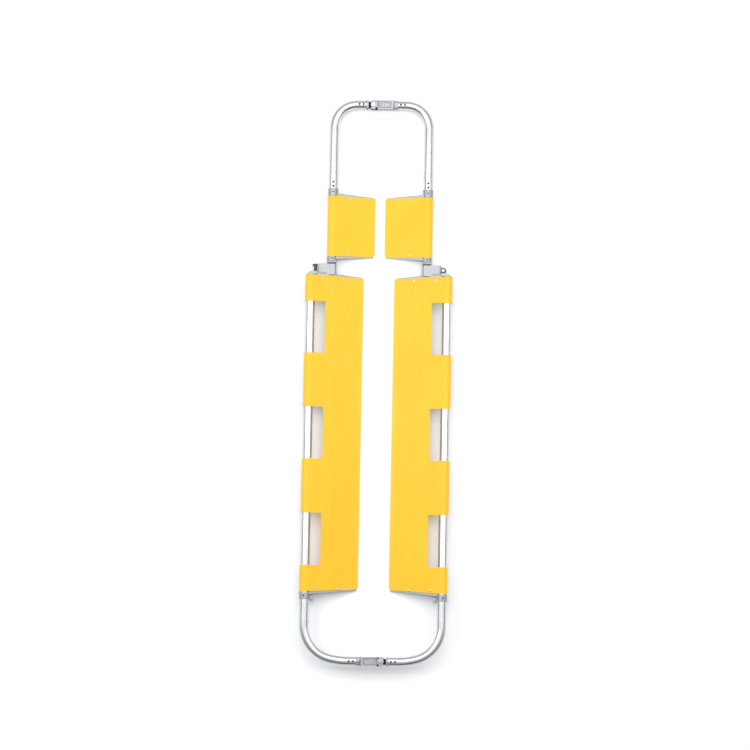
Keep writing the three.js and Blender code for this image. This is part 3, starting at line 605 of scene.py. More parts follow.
def swept_tube(route, z, width, height, wall=TUBE_WALL, rim=0.4 * MM, steps=14):
    """A hollow oval tube along a route of (x, y) points at one height, with softened end rims."""
    route = np.array(without_repeats(route))
    along = np.gradient(route, axis=0)
    along /= np.linalg.norm(along, axis=1)[:, None]
    sideways = np.stack([along[:, 1], -along[:, 0]], axis=1)
    distance = np.concatenate([[0.0], np.cumsum(np.linalg.norm(np.diff(route, axis=0), axis=1))])
    skins = []
    for inset in (0.0, rim, wall - rim, wall):
        skins.append(racetrack(width - 2 * inset, height - 2 * inset, steps=steps))
    bm = bmesh.new()
    stretch = bm.verts.layers.float_vector.new("unbent")

    def ring(outline, index, push):
        made = []
        for across, up in outline:
            flat = route[index] + sideways[index] * across + along[index] * push
            vert = bm.verts.new((flat[0], flat[1], z + up))
            vert[stretch] = (across, up, distance[index] + push)
            made.append(vert)
        return made

    last = len(route) - 1
    loops = [ring(skins[1], 0, 0.0), ring(skins[0], 0, rim)]
    loops += [ring(skins[0], i, 0.0) for i in range(1, last)]
    loops += [ring(skins[0], last, -rim), ring(skins[1], last, 0.0)]
    loops += [ring(skins[2], last, 0.0), ring(skins[3], last, -rim)]
    loops += [ring(skins[3], i, 0.0) for i in range(last - 1, 0, -1)]
    loops += [ring(skins[3], 0, rim), ring(skins[2], 0, 0.0)]
    for one, two in zip(loops, loops[1:] + loops[:1]):
        for i in range(len(one)):
            j = (i + 1) % len(one)
            bm.faces.new((one[i], one[j], two[j], two[i]))
    return mesh_from(bm)


def unbent_along(mesh, axis, centre):
    """Stores the unbent place for a tube that is straight along one axis."""
    store = mesh.attributes.new("unbent", "FLOAT_VECTOR", "POINT")
    index = AXIS_INDEX[axis]
    a, b = (k for k in range(3) if k != index)
    for vert, value in zip(mesh.vertices, store.data):
        value.vector = (vert.co[a] - centre[0], vert.co[b] - centre[1], vert.co[index])
    return mesh


print("a quarter bend takes", len(route_bend((0.0, 0.0), 1.0, 0, 90)), "steps")

# %% [markdown]
# The side rail runs up the side, bends in at the head end, and bows gently before the coupling, so
# that a lifter's hands have room. The bow's radius follows from where the bend ends and where the
# coupling's spigot begins.

# %% Side rail
COUPLER_HALF_SPAN = 47.5 * MM
SEAT_GAP = 0.3 * MM
RUN_GAP = 0.3 * MM
COUPLER_SPIGOT = 26 * MM
SPIGOT_CLEAR = 1.5 * MM
HEAD_BEND_RADIUS = 100 * MM
HEAD_BEND_ANGLE = 75.0
FOOT_BEND_RADIUS = 68 * MM
STRAIGHT_STEP = 24 * MM

tube_end_x = COUPLER_HALF_SPAN + SEAT_GAP
bow_start_x = COUPLER_HALF_SPAN + COUPLER_SPIGOT + SPIGOT_CLEAR
bend_end_x = RAIL_X - HEAD_BEND_RADIUS * (1 - math.cos(math.radians(HEAD_BEND_ANGLE)))
bow_turn = math.radians(90 - HEAD_BEND_ANGLE)
bow_radius = (bend_end_x - bow_start_x) / math.sin(bow_turn)
bow_rise = bow_radius * (1 - math.cos(bow_turn))
leg_end_y = HEAD_CROSS_Y + HEAD_BEND_RADIUS * math.sin(math.radians(HEAD_BEND_ANGLE)) + bow_rise

rail_route = (
    route_straight((RAIL_X, RAIL_HIGH.y), (RAIL_X, leg_end_y), STRAIGHT_STEP)
    + route_bend((RAIL_X - HEAD_BEND_RADIUS, leg_end_y), HEAD_BEND_RADIUS, 0, -HEAD_BEND_ANGLE)
    + route_bend((bow_start_x, HEAD_CROSS_Y + bow_radius), bow_radius, -HEAD_BEND_ANGLE, -90, 1.5)
    + route_straight((bow_start_x, HEAD_CROSS_Y), (tube_end_x, HEAD_CROSS_Y))
)
place_pair("side_rail", swept_tube(rail_route, RAIL_Z, RAIL_WIDTH, RAIL_HEIGHT))

# %% [markdown]
# The foot section's tube is made in two lengths: a straight sleeve through the two foot castings,
# and a loop that bends in to the foot coupling. A hollow spigot joins them from the inside.

# %% Foot tubes and their spigot
leg_joint_y = low("right_foot_loop_tube").y
foot_bend_x = LEG_X - FOOT_BEND_RADIUS
foot_bend_y = FOOT_CROSS_Y - FOOT_BEND_RADIUS
loop_route = (
    route_straight((LEG_X, leg_joint_y), (LEG_X, foot_bend_y), STRAIGHT_STEP)
    + route_bend((foot_bend_x, foot_bend_y), FOOT_BEND_RADIUS, 0, 90)
    + route_straight((foot_bend_x, FOOT_CROSS_Y), (tube_end_x, FOOT_CROSS_Y))
)
place_pair("foot_loop_tube", swept_tube(loop_route, LEG_Z, LEG_WIDTH, LEG_HEIGHT))

sleeve_route = route_straight((LEG_X, LEG_LOW.y), (LEG_X, LEG_HIGH.y), STRAIGHT_STEP)
place_pair("foot_side_tube", swept_tube(sleeve_route, LEG_Z, LEG_WIDTH, LEG_HEIGHT))

spigot_low, spigot_high = low("right_leg_spigot"), high("right_leg_spigot")
spigot_route = route_straight((LEG_X, spigot_low.y), (LEG_X, spigot_high.y))
spigot_width, spigot_height = spigot_high.x - spigot_low.x, spigot_high.z - spigot_low.z
place_pair("leg_spigot", swept_tube(spigot_route, LEG_Z, spigot_width, spigot_height))

# %% [markdown]
# The slide tube runs inside the main section and carries the foot section out. Holes in its outer
# side take the lock's plunger, one for each length. They are drilled through the wall and lightly
# countersunk, so that the plunger finds them.

# %% Slide tube and its lock holes
SLIDE_LOW, SLIDE_HIGH = low("right_slide_tube"), high("right_slide_tube")
SLIDE_WIDTH, SLIDE_HEIGHT = SLIDE_HIGH.x - SLIDE_LOW.x, SLIDE_HIGH.z - SLIDE_LOW.z
PLUNGER_LOW, PLUNGER_HIGH = low("right_lock_plunger"), high("right_lock_plunger")
PLUNGER_Y = (PLUNGER_LOW.y + PLUNGER_HIGH.y) / 2
HOLE_PITCH, HOLE_COUNT, HOLE_RADIUS = 90 * MM, 5, 3.4 * MM
SINK_DEPTH, SINK_LAP = 0.5 * MM, 0.1 * MM



def leg_oval(width, height):
    """An oval about the leg tube's middle, as points of X and Z."""
    return racetrack(width, height, (LEG_X, LEG_Z), 14)


hole_ys = [PLUNGER_Y - i * HOLE_PITCH for i in range(HOLE_COUNT)]
sink_from, sink_to = SLIDE_HIGH.x - SINK_DEPTH, SLIDE_HIGH.x + SINK_DEPTH
sink = [(sink_from, HOLE_RADIUS - SINK_LAP), (sink_to, HOLE_RADIUS + 2 * SINK_DEPTH - SINK_LAP)]
sink = [(sink_from, 0.0)] + sink + [(sink_to, 0.0)]
lock_holes = []
for y in hole_ys:
    lock_holes.append(bar("x", HOLE_RADIUS, LEG_X, SLIDE_HIGH.x + MM, (y, LEG_Z)))
    lock_holes.append(turned("x", sink, (y, LEG_Z)))
slide_bore = leg_oval(SLIDE_WIDTH - 2 * TUBE_WALL, SLIDE_HEIGHT - 2 * TUBE_WALL)
slide_tube = cut(
    prism("y", leg_oval(SLIDE_WIDTH, SLIDE_HEIGHT), SLIDE_LOW.y, SLIDE_HIGH.y),
    prism("y", slide_bore, SLIDE_LOW.y - MM, SLIDE_HIGH.y + MM),
    *lock_holes,
)
slide_tube = bevelled(slide_tube, 0.25 * MM, angle=60, segments=1)
place_pair("slide_tube", unbent_along(slide_tube, "y", (LEG_X, LEG_Z)))
print("lock holes at", [round(y, 3) for y in hole_ys])

# %% [markdown]
# ## The blades
# A blade is one sheet. It hooks over its tube, leaves the tube on a slope, and ends near the middle
# line of the stretcher, with its inner edge close to the ground so that it slides under a body.
# Shallow ribs run along its length and make the thin sheet stiff.
#
# The section is worked out first as a line on the upper surface: round the tube, down the slopes,
# to the edge. Grooves are a small wave cut into that line. The sheet is that section run along Y,
# and then cut to its plan, with tapered ends, cut corners and handhold bays.


# %% The upper surface of a panel
class Panel:
    """The shape of one blade in section: the tube that it wraps, then folds towards its edge."""

    def __init__(self, tube_x, tube_z, tube_radius, folds, thickness):
        self.tube_x, self.tube_z = tube_x, tube_z
        self.tube_radius, self.thickness = tube_radius, thickness
        self.folds = folds

    def wrap_slope(self):
        across, down = self.tube_x - self.folds[0][0], self.tube_z - self.folds[0][1]
        radius = self.tube_radius + self.thickness + SEAT_GAP
        return math.asin(radius / math.hypot(across, down)) + math.atan2(down, across)

    def line(self, offset=0.0):
        """The upper surface from the wrap to the edge, moved down square to itself."""
        slope = self.wrap_slope()
        radius = self.tube_radius + self.thickness + SEAT_GAP
        leave = (self.tube_x - radius * math.sin(slope), self.tube_z + radius * math.cos(slope))
        tops = [leave] + self.folds
        slopes = [math.atan2(p[1] - q[1], p[0] - q[0]) for p, q in zip(tops, tops[1:])]
        points = []
        for i, (x, z) in enumerate(tops):
            before, after = slopes[max(i - 1, 0)], slopes[min(i, len(slopes) - 1)]
            middle, reach = (before + after) / 2, offset / math.cos((after - before) / 2)
            points.append((x + reach * math.sin(middle), z - reach * math.cos(middle)))
        return points

    def height_and_slope(self, x):
        points = self.line()
        for (x1, z1), (x2, z2) in zip(points, points[1:]):
            if x >= x2:
                slope = math.atan2(z1 - z2, x1 - x2)
                return z2 + (x - x2) * math.tan(slope), slope
        raise ValueError("x is beyond the panel's edge")


BLADE_LOW, BLADE_HIGH = low("right_main_blade"), high("right_main_blade")
FOOT_BLADE_LOW, FOOT_BLADE_HIGH = low("right_foot_blade"), high("right_foot_blade")
SHEET = 2.2 * MM
MAIN_FOLD, MAIN_EDGE, LEG_EDGE = (130 * MM, 41.5 * MM), (46 * MM, 5.5 * MM), (15 * MM, 4 * MM)
rail_top_z = RAIL_Z + (RAIL_HEIGHT - RAIL_WIDTH) / 2
leg_top_z = LEG_Z + (LEG_HEIGHT - LEG_WIDTH) / 2
MAIN_PANEL = Panel(RAIL_X, rail_top_z, RAIL_WIDTH / 2, [MAIN_FOLD, MAIN_EDGE], SHEET)
FOOT_PANEL = Panel(LEG_X, leg_top_z, LEG_WIDTH / 2, [LEG_EDGE], SHEET)
print("main blade leaves its rail at", round(math.degrees(MAIN_PANEL.wrap_slope()), 1), "degrees")

# %% [markdown]
# The grooves keep a flat land between them, as a rolling tool leaves it, and stop short of the rail
# and of the inner edge. The fold is a bend with a radius, so the line is rounded there.

# %% Folds and grooves
RIB_PITCH = 6.0 * MM
RIB_DEPTH = 0.7 * MM
RIB_STEPS = 10
SMOOTH_EDGE = 12 * MM
FOLD_RADIUS = 9 * MM
LIP_DROP = 6 * MM


def rounded_line(points, radius, steps=8):
    """A polyline with its inner corners turned into arcs."""
    out = [np.array(points[0])]
    for before, corner, after in zip(points, points[1:], points[2:]):
        before, corner, after = (np.array(p) for p in (before, corner, after))
        back, on = before - corner, after - corner
        back, on = back / np.linalg.norm(back), on / np.linalg.norm(on)
        half = math.acos(max(-1.0, min(1.0, float(back @ on)))) / 2
        start, end = corner + back * radius / math.tan(half), corner + on * radius / math.tan(half)
        for t in np.linspace(0, 1, steps + 1):
            out.append((1 - t) ** 2 * start + 2 * t * (1 - t) * corner + t**2 * end)
    return out + [np.array(points[-1])]


def even_points(line, spacing):
    """Points at an even spacing along a polyline, with their distance and their normal."""
    line = np.array(line)
    reach = np.concatenate([[0.0], np.cumsum(np.linalg.norm(np.diff(line, axis=0), axis=1))])
    marks = np.linspace(0.0, reach[-1], max(2, round(reach[-1] / spacing)) + 1)
    points = np.stack([np.interp(marks, reach, line[:, k]) for k in (0, 1)], axis=1)
    along = np.gradient(points, axis=0)
    along /= np.linalg.norm(along, axis=1)[:, None]
    return points, marks, np.stack([-along[:, 1], along[:, 0]], axis=1)


def groove_depth(mark, total):
    """How deep the ribbing cuts at a distance from the wrap: flat lands with round grooves."""
    if mark < RIB_PITCH or mark > total - SMOOTH_EDGE:
        return 0.0
    phase = (mark / RIB_PITCH) % 1.0
    return RIB_DEPTH * max(0.0, math.cos(2 * math.pi * (phase - 0.5)) + 0.25) / 1.25


print("grooves", round(RIB_DEPTH / MM, 1), "mm deep, one every", round(RIB_PITCH / MM, 1), "mm")

# %% [markdown]
# The section goes round the tube on the outside, along the grooved top, round the thin edge, back
# along the underside at the sheet's thickness, and round the tube on the inside.


# %% The ribbed section
def blade_outline(panel):
    outer = panel.tube_radius + panel.thickness + SEAT_GAP
    inner = panel.tube_radius + SEAT_GAP
    leave = 90.0 + math.degrees(panel.wrap_slope())
    centre = (panel.tube_x, panel.tube_z)
    lip_z = panel.tube_z - LIP_DROP
    top_line = rounded_line(panel.line(), FOLD_RADIUS)
    under_line = rounded_line(panel.line(panel.thickness), FOLD_RADIUS)
    tops, marks, normals = even_points(top_line, RIB_PITCH / RIB_STEPS)
    total = marks[-1]
    half = panel.thickness / 2
    upper = []
    for point, mark, normal in zip(tops, marks, normals):
        if mark < total - half:
            upper.append(tuple(point + normal * groove_depth(mark, total)))
    unders, marks, _ = even_points(under_line, RIB_PITCH / 4)
    under = [tuple(p) for p, m in zip(unders, marks) if m < marks[-1] - half]
    roll = math.atan2(tops[-1][1] - unders[-1][1], tops[-1][0] - unders[-1][0])
    middle = (tops[-1] + unders[-1]) / 2 - half * np.array([-math.sin(roll), math.cos(roll)])
    edge = [
        (middle[0] + half * math.cos(roll + t), middle[1] + half * math.sin(roll + t))
        for t in np.linspace(math.radians(15), math.radians(165), 7)
    ]
    outline = [(panel.tube_x + outer, lip_z)] + arc(centre, outer, 0, leave, 44)
    outline += upper[1:] + edge + under[:0:-1]
    outline += arc(centre, inner, leave, 0, 44) + [(panel.tube_x + inner, lip_z)]
    return without_repeats(outline)


main_outline = blade_outline(MAIN_PANEL)
foot_outline = blade_outline(FOOT_PANEL)
print("section points:", len(main_outline), "and", len(foot_outline))

# %% [markdown]
# Cutting the sheet to its plan gives the rest of the shape. The ends taper, so that the inner edge
# is shorter than the outer one, and the inner corners are cut. The main blade has three bays at its
# outer edge, which open a handhold between the blade and the rail. They are spread evenly along it.

# %% Main blade and foot blade
HEAD_TAPER, FOOT_TAPER, LEG_TAPER = 12 * MM, 5 * MM, 3 * MM
MAIN_CORNERS, LEG_CORNERS = (9 * MM, 2 * MM), (5 * MM, 2 * MM)
HANDHOLD_COUNT, HANDHOLD_LENGTH, HANDHOLD_INNER_X = 3, 155.5 * MM, 159 * MM
PLAN_MARGIN, CUT_TOP = 5 * MM, 100 * MM
BLADE_EDGE = 0.3 * MM


def blade_plan(inner_x, outer_x, low_y, high_y, tapers, corners, bays=()):
    inner_x, outer_x = inner_x - PLAN_MARGIN, outer_x + PLAN_MARGIN
    low_from, high_from = low_y + tapers[0], high_y - tapers[1]
    low_corner, high_corner = (corner + PLAN_MARGIN for corner in corners)
    points = [(inner_x, low_from + low_corner), (inner_x + low_corner, low_from), (outer_x, low_y)]
    for start, end in bays:
        points += [(outer_x, start), (HANDHOLD_INNER_X, start)]
        points += [(HANDHOLD_INNER_X, end), (outer_x, end)]
    points += [(outer_x, high_y), (inner_x + high_corner, high_from)]
    return points + [(inner_x, high_from - high_corner)]


def blade(outline, plan, low_y, high_y):
    sheet = prism("y", outline, low_y, high_y)
    sheet = common(sheet, prism("z", plan, -PLAN_MARGIN, CUT_TOP))
    return bevelled(sheet, BLADE_EDGE, angle=60, segments=1)


blade_from, blade_to = BLADE_LOW.y, BLADE_HIGH.y
handhold_pitch = (blade_to - blade_from) / HANDHOLD_COUNT
handhold_middles = [blade_from + handhold_pitch * (i + 0.5) for i in range(HANDHOLD_COUNT)]
handhold_bays = [(m - HANDHOLD_LENGTH / 2, m + HANDHOLD_LENGTH / 2) for m in handhold_middles]
main_plan = blade_plan(
    MAIN_EDGE[0], BLADE_HIGH.x, blade_from, blade_to, (HEAD_TAPER, FOOT_TAPER), MAIN_CORNERS, handhold_bays
)
print("handholds centred at", [round(m, 3) for m in handhold_middles])
place_pair("main_blade", blade(main_outline, main_plan, blade_from, blade_to))

leg_from, leg_to = FOOT_BLADE_LOW.y, FOOT_BLADE_HIGH.y
leg_tapers = (LEG_TAPER, LEG_TAPER)
leg_plan = blade_plan(LEG_EDGE[0], FOOT_BLADE_HIGH.x, leg_from, leg_to, leg_tapers, LEG_CORNERS)
place_pair("foot_blade", blade(foot_outline, leg_plan, leg_from, leg_to))

# %% [markdown]
# ## Rivets
# Domed rivets hold the blades to the castings under them. A rivet is turned about its own axis: a
# shallow dome with a rolled rim, a neck, and a shank that goes through the sheet into the casting.
# It is then set square on the sloping panel.


# %% Rivets
RIVET_HEAD, RIVET_DOME, RIVET_SHANK, RIVET_LENGTH = 3.2 * MM, 1.3 * MM, 1.5 * MM, 7.5 * MM


def dome_profile(radius, height, steps=8):
    """A shallow dome over a small straight rim, from the rim's underside to the crown."""
    rim = 0.25 * height
    points = [(0.0, radius)]
    for t in np.linspace(0, 90, steps + 1)[:-1]:
        turn = math.radians(t)
        points.append((rim + (height - rim) * math.sin(turn), radius * math.cos(turn) ** 0.7))
    return points + [(height, 0.0)]


def rivet_mesh():
    shank = [(-RIVET_LENGTH, 0.0), (-RIVET_LENGTH, RIVET_SHANK - 0.2 * MM)]
    shank += [(-RIVET_LENGTH + 0.3 * MM, RIVET_SHANK), (0.0, RIVET_SHANK)]
    return turned("z", shank + dome_profile(RIVET_HEAD, RIVET_DOME), (0.0, 0.0), 28)


def seated(mesh, panel, x, y, lift=0.05 * MM):
    """Sets a mesh drawn along Z square on a panel's upper surface."""
    z, slope = panel.height_and_slope(x)
    tilt = Matrix.Rotation(-slope, 4, "Y") @ Matrix.Translation((0, 0, lift))
    mesh.transform(Matrix.Translation((x, y, z)) @ tilt)
    return mesh


MAIN_RIVET_X, FOOT_RIVET_X = (169.5 * MM, 104.5 * MM), 89.5 * MM
main_spots = [(MAIN_PANEL, x) for x in MAIN_RIVET_X for _ in ("foot end", "head end")]
foot_spots = [(FOOT_PANEL, FOOT_RIVET_X) for _ in ("far end", "near end")]
rivet_ys = []
for number, (panel, x) in enumerate(main_spots + foot_spots, 1):
    part = "rivet_" + str(number)
    rivet_ys.append((low("right_" + part).y + high("right_" + part).y) / 2)
    place_pair(part, seated(rivet_mesh(), panel, x, rivet_ys[-1]))
FOOT_RIVET_Y, HEAD_RIVET_Y, _, _, FAR_RIVET_Y, NEAR_RIVET_Y = rivet_ys

# %% [markdown]
# ## The castings
# Every casting starts as the machined shape of the working part: blocks, collars and ribs joined,
# with the bores cut out. It then gets what a casting has: a hollow underside, and soft edges.
#
# A rib carries the end of each blade. It is flat underneath and follows the blade's underside on
# top. Its ends follow the blade's taper.

# %% End ribs
RIB_SEAT, RIB_OUTER_REACH, RIB_INNER_REACH, RIB_INSET = 17 * MM, 8 * MM, 3 * MM, 4 * MM
RIB_WALL, RIB_ROOF = 2.6 * MM, 3.0 * MM
BLADE_SKIN = SHEET + SEAT_GAP


def end_rib(panel, outer_x, taper, end_y, outward, edge_x):
    inner_x = panel.folds[-1][0]
    line = panel.line(BLADE_SKIN)
    section = line + [(line[-1][0], 0.0), (line[0][0], 0.0)]
    rib_inner_x = inner_x + RIB_INSET
    inner_end, outer_end = (
        end_y - outward * taper * (edge_x - x) / (edge_x - inner_x) for x in (rib_inner_x, outer_x)
    )
    plan = [
        (rib_inner_x, inner_end - outward * RIB_SEAT),
        (outer_x, outer_end - outward * RIB_SEAT),
        (outer_x, outer_end + outward * RIB_OUTER_REACH),
        (rib_inner_x, inner_end + outward * RIB_INNER_REACH),
    ]
    reach = RIB_SEAT + RIB_OUTER_REACH + taper
    wall = prism("y", section, end_y - reach, end_y + reach)
    return common(wall, prism("z", plan, -MM, CUT_TOP)), plan


print("ribs reach", round(RIB_SEAT / MM, 1), "mm under the blade")

# %% [markdown]
# Each rib is hollowed from below to save weight, with cross webs between the hollows. The rivets
# that hold the blade go through it, square to the sheet.


# %% Pockets and rivet holes
def rib_pockets(panel, plan, count, stay_below=RIB_ROOF):
    """Hollows under a rib: tapered pockets between cross webs. Their roof follows the panel."""
    (x0, y0), (x1, y1), (_, y2), (_, y3) = plan
    from_x, to_x = x0 + RIB_WALL, x1 - RIB_WALL
    roof = panel.line(BLADE_SKIN + stay_below)
    section = roof + [(roof[-1][0], -MM), (roof[0][0], -MM)]
    pockets = []
    length = (to_x - from_x - (count - 1) * RIB_WALL) / count
    for i in range(count):
        start = from_x + i * (length + RIB_WALL)
        corners = []
        for x, side in ((start, 0), (start + length, 0), (start + length, 1), (start, 1)):
            t = (x - x0) / (x1 - x0)
            near, far = y0 + (y1 - y0) * t, y3 + (y2 - y3) * t
            inward = RIB_WALL if far > near else -RIB_WALL
            corners.append((x, near + inward if side == 0 else far - inward))
        lowest, highest = min(c[1] for c in corners), max(c[1] for c in corners)
        body = prism("y", section, lowest - MM, highest + MM)
        pockets.append(common(body, prism("z", corners, -2 * MM, CUT_TOP)))
    return pockets


def rivet_hole(panel, x, y):
    start, end, radius = -20 * MM, 3 * MM, RIVET_SHANK + 0.25 * MM
    hole = turned("z", [(start, 0.0), (start, radius), (end, radius), (end, 0.0)], (0, 0), 20)
    return seated(hole, panel, x, y)


RAIL_INNER_X = RAIL_X - RAIL_WIDTH / 2 - SEAT_GAP
LEG_INNER_X = LEG_X - LEG_WIDTH / 2 - SEAT_GAP
print("rib rivets at y", [round(y, 4) for y in rivet_ys])

# %% [markdown]
# A collar is a short sleeve round a tube. A set screw clamps it. The screw's hole is square to the
# collar's skin, so its place is worked out from an angle round the tube.

# %% Collars and the holes of their set screws
COLLAR_WALL = 1.8 * MM
SCREW_RADIUS, SCREW_SOCKET = 3.4 * MM, 2.3 * MM


def collar(x, z, width, height, start, end):
    grow = 2 * (SEAT_GAP + COLLAR_WALL)
    return prism("y", racetrack(width + grow, height + grow, (x, z), 12), start, end)


def collar_bore(x, z, width, height, start, end):
    return prism("y", racetrack(width + 2 * SEAT_GAP, height + 2 * SEAT_GAP, (x, z), 12), start, end)


def spot_on_collar(x, z, width, height, y, offset):
    """The place and tilt of a point on a collar's skin, at an offset from the tube's middle."""
    radius = width / 2 + SEAT_GAP + COLLAR_WALL
    tilt = math.asin(offset / radius)
    straight = (height - width) / 2
    return x + offset, y, z + straight + radius * math.cos(tilt), tilt


def screw_hole(spot):
    x, y, z, tilt = spot
    hole = bar("z", SCREW_RADIUS, -2.3 * MM, 2 * MM, (0, 0))
    hole.transform(Matrix.Translation((x, y, z)) @ Matrix.Rotation(tilt, 4, "Y"))
    return hole


print("collar walls", round(COLLAR_WALL / MM, 1), "mm, set screws", round(2 * SCREW_RADIUS / MM, 1), "mm")

# %% [markdown]
# The head bracket has a collar round the rail, a rib under the blade's end, and a short post to the
# ground, so that the rail doesn't rest on the floor. The post is hollow from below.

# %% Head bracket
HEAD_COLLAR_LENGTH, POST_WIDTH, POST_HOLLOW_TOP = 21 * MM, 12 * MM, 20 * MM
HEAD_SCREW_OFFSET = 3 * MM
head_from, head_to = blade_from - SEAT_GAP - HEAD_COLLAR_LENGTH, blade_from - SEAT_GAP
head_rib, head_plan = end_rib(MAIN_PANEL, RAIL_INNER_X, HEAD_TAPER, blade_from, -1, BLADE_HIGH.x)
head_bracket = joined(
    collar(RAIL_X, RAIL_Z, RAIL_WIDTH, RAIL_HEIGHT, head_from, head_to),
    head_rib,
    block((RAIL_INNER_X - POST_WIDTH, RAIL_X), (head_from, head_to), (0.0, RAIL_Z)),
)
post_hollow = block(
    (RAIL_INNER_X - POST_WIDTH + RIB_WALL, RAIL_X - RIB_WALL),
    (head_from + RIB_WALL, head_to - RIB_WALL),
    (-MM, POST_HOLLOW_TOP),
)
head_bracket = cut(
    head_bracket,
    collar_bore(RAIL_X, RAIL_Z, RAIL_WIDTH, RAIL_HEIGHT, head_from - MM, head_to + MM),
    post_hollow,
    *rib_pockets(MAIN_PANEL, head_plan, 4),
)
head_middle = (head_from + head_to) / 2
HEAD_SCREW_SPOT = spot_on_collar(RAIL_X, RAIL_Z, RAIL_WIDTH, RAIL_HEIGHT, head_middle, HEAD_SCREW_OFFSET)
head_bracket = cut(
    softened(head_bracket),
    screw_hole(HEAD_SCREW_SPOT),
    *(rivet_hole(MAIN_PANEL, x, HEAD_RIVET_Y) for x in MAIN_RIVET_X),
)
place_pair("head_bracket", head_bracket)
print("head collar", round((head_to - head_from) / MM, 1), "mm long")

# %% [markdown]
# The foot section has two such brackets, one at each end of its blade. The far one is a plain
# collar with a rib. The near one closes the tube's end and carries the middle knuckle of the fold
# hinge.

# %% Far bracket
LEG_ROOF = 2.4 * MM
far_from, far_to = FOOT_BLADE_HIGH.y + SEAT_GAP, high("right_far_bracket").y
far_rib, far_plan = end_rib(FOOT_PANEL, LEG_INNER_X, LEG_TAPER, FOOT_BLADE_HIGH.y, 1, FOOT_BLADE_HIGH.x)


def leg_collar(start, end):
    grow = 2 * (SEAT_GAP + COLLAR_WALL)
    return prism("y", racetrack(LEG_WIDTH + grow, 2 * LEG_Z, (LEG_X, LEG_Z), 12), start, end)


far_bracket = cut(
    joined(leg_collar(far_from, far_to), far_rib),
    collar_bore(LEG_X, LEG_Z, LEG_WIDTH, LEG_HEIGHT, far_from - MM, far_to + MM),
    *rib_pockets(FOOT_PANEL, far_plan, 3, LEG_ROOF),
)
FAR_SCREW_SPOT = spot_on_collar(LEG_X, LEG_Z, LEG_WIDTH, LEG_HEIGHT, (far_from + far_to) / 2, 0.0)
far_bracket = cut(
    softened(far_bracket, 0.7 * MM),
    screw_hole(FAR_SCREW_SPOT),
    rivet_hole(FOOT_PANEL, FOOT_RIVET_X, FAR_RIVET_Y),
)
place_pair("far_bracket", far_bracket)

# %% [markdown]
# ## The fold hinge
# The foot section folds back over the main section about a pin at blade height. Two ears on the
# slide tube's end fitting hold the pin, and one knuckle on the near bracket turns between them.
# Round bosses, a web down to the body of each casting, and a reamed hole make each of them.

# %% Near bracket with its knuckle
FOLD_Y, FOLD_Z = (low("right_fold_pin").y + high("right_fold_pin").y) / 2, 45 * MM
KNUCKLE_RADIUS, KNUCKLE_WIDTH, PIN_RADIUS = 5.5 * MM, 10.4 * MM, 2.5 * MM
NEAR_WALL, NEAR_SCREW_INSET, FLANGE_LIP = 3.6 * MM, 4.5 * MM, 1.5 * MM
knuckle_x = (LEG_X - KNUCKLE_WIDTH / 2, LEG_X + KNUCKLE_WIDTH / 2)
flange_width = SLIDE_WIDTH + 2 * FLANGE_LIP
ear_spans = [
    (LEG_X - flange_width / 2, knuckle_x[0] - RUN_GAP),
    (knuckle_x[1] + RUN_GAP, LEG_X + flange_width / 2),
]
pin_hole = bar("x", PIN_RADIUS + RUN_GAP, ear_spans[0][0] - MM, ear_spans[1][1] + MM, (FOLD_Y, FOLD_Z))

near_from, near_to = FOLD_Y + RUN_GAP, FOOT_BLADE_LOW.y - SEAT_GAP
near_rib, near_plan = end_rib(FOOT_PANEL, LEG_INNER_X, LEG_TAPER, FOOT_BLADE_LOW.y, -1, FOOT_BLADE_HIGH.x)
near_bracket = joined(
    leg_collar(near_from, near_to),
    near_rib,
    bar("x", KNUCKLE_RADIUS, knuckle_x[0], knuckle_x[1], (FOLD_Y, FOLD_Z), 40),
    block(knuckle_x, (near_from, FOLD_Y + KNUCKLE_RADIUS), (LEG_Z, FOLD_Z)),
)
near_bracket = cut(
    near_bracket,
    collar_bore(LEG_X, LEG_Z, LEG_WIDTH, LEG_HEIGHT, near_from + NEAR_WALL, near_to + MM),
    *rib_pockets(FOOT_PANEL, near_plan, 3, LEG_ROOF),
)
NEAR_SCREW_SPOT = spot_on_collar(LEG_X, LEG_Z, LEG_WIDTH, LEG_HEIGHT, near_to - NEAR_SCREW_INSET, 0.0)
near_bracket = cut(
    softened(near_bracket, 0.6 * MM),
    pin_hole,
    screw_hole(NEAR_SCREW_SPOT),
    rivet_hole(FOOT_PANEL, FOOT_RIVET_X, NEAR_RIVET_Y),
)
place_pair("near_bracket", near_bracket)

# %% [markdown]
# The slide tube's end fitting is a flange with a plug inside the tube and the two ears above it.
# The pin is turned steel with a domed head at each side, peened over after assembly.

# %% Slide end and fold pin
flange_from, flange_to = SLIDE_HIGH.y + RUN_GAP, FOLD_Y - RUN_GAP
flange_outline = racetrack(flange_width, SLIDE_HEIGHT + 2 * FLANGE_LIP, (LEG_X, LEG_Z), 12)
plug_grow = 2 * (TUBE_WALL + SEAT_GAP)
plug_outline = racetrack(SLIDE_WIDTH - plug_grow, SLIDE_HEIGHT - plug_grow, (LEG_X, LEG_Z), 12)
slide_end = joined(
    prism("y", flange_outline, flange_from, flange_to),
    prism("y", plug_outline, low("right_slide_end").y, flange_from + MM),
    *(bar("x", KNUCKLE_RADIUS, a, b, (FOLD_Y, FOLD_Z), 40) for a, b in ear_spans),
    *(block((a, b), (flange_from, flange_to), (LEG_Z, FOLD_Z)) for a, b in ear_spans),
)
place_pair("slide_end", cut(softened(slide_end, 0.5 * MM), pin_hole))


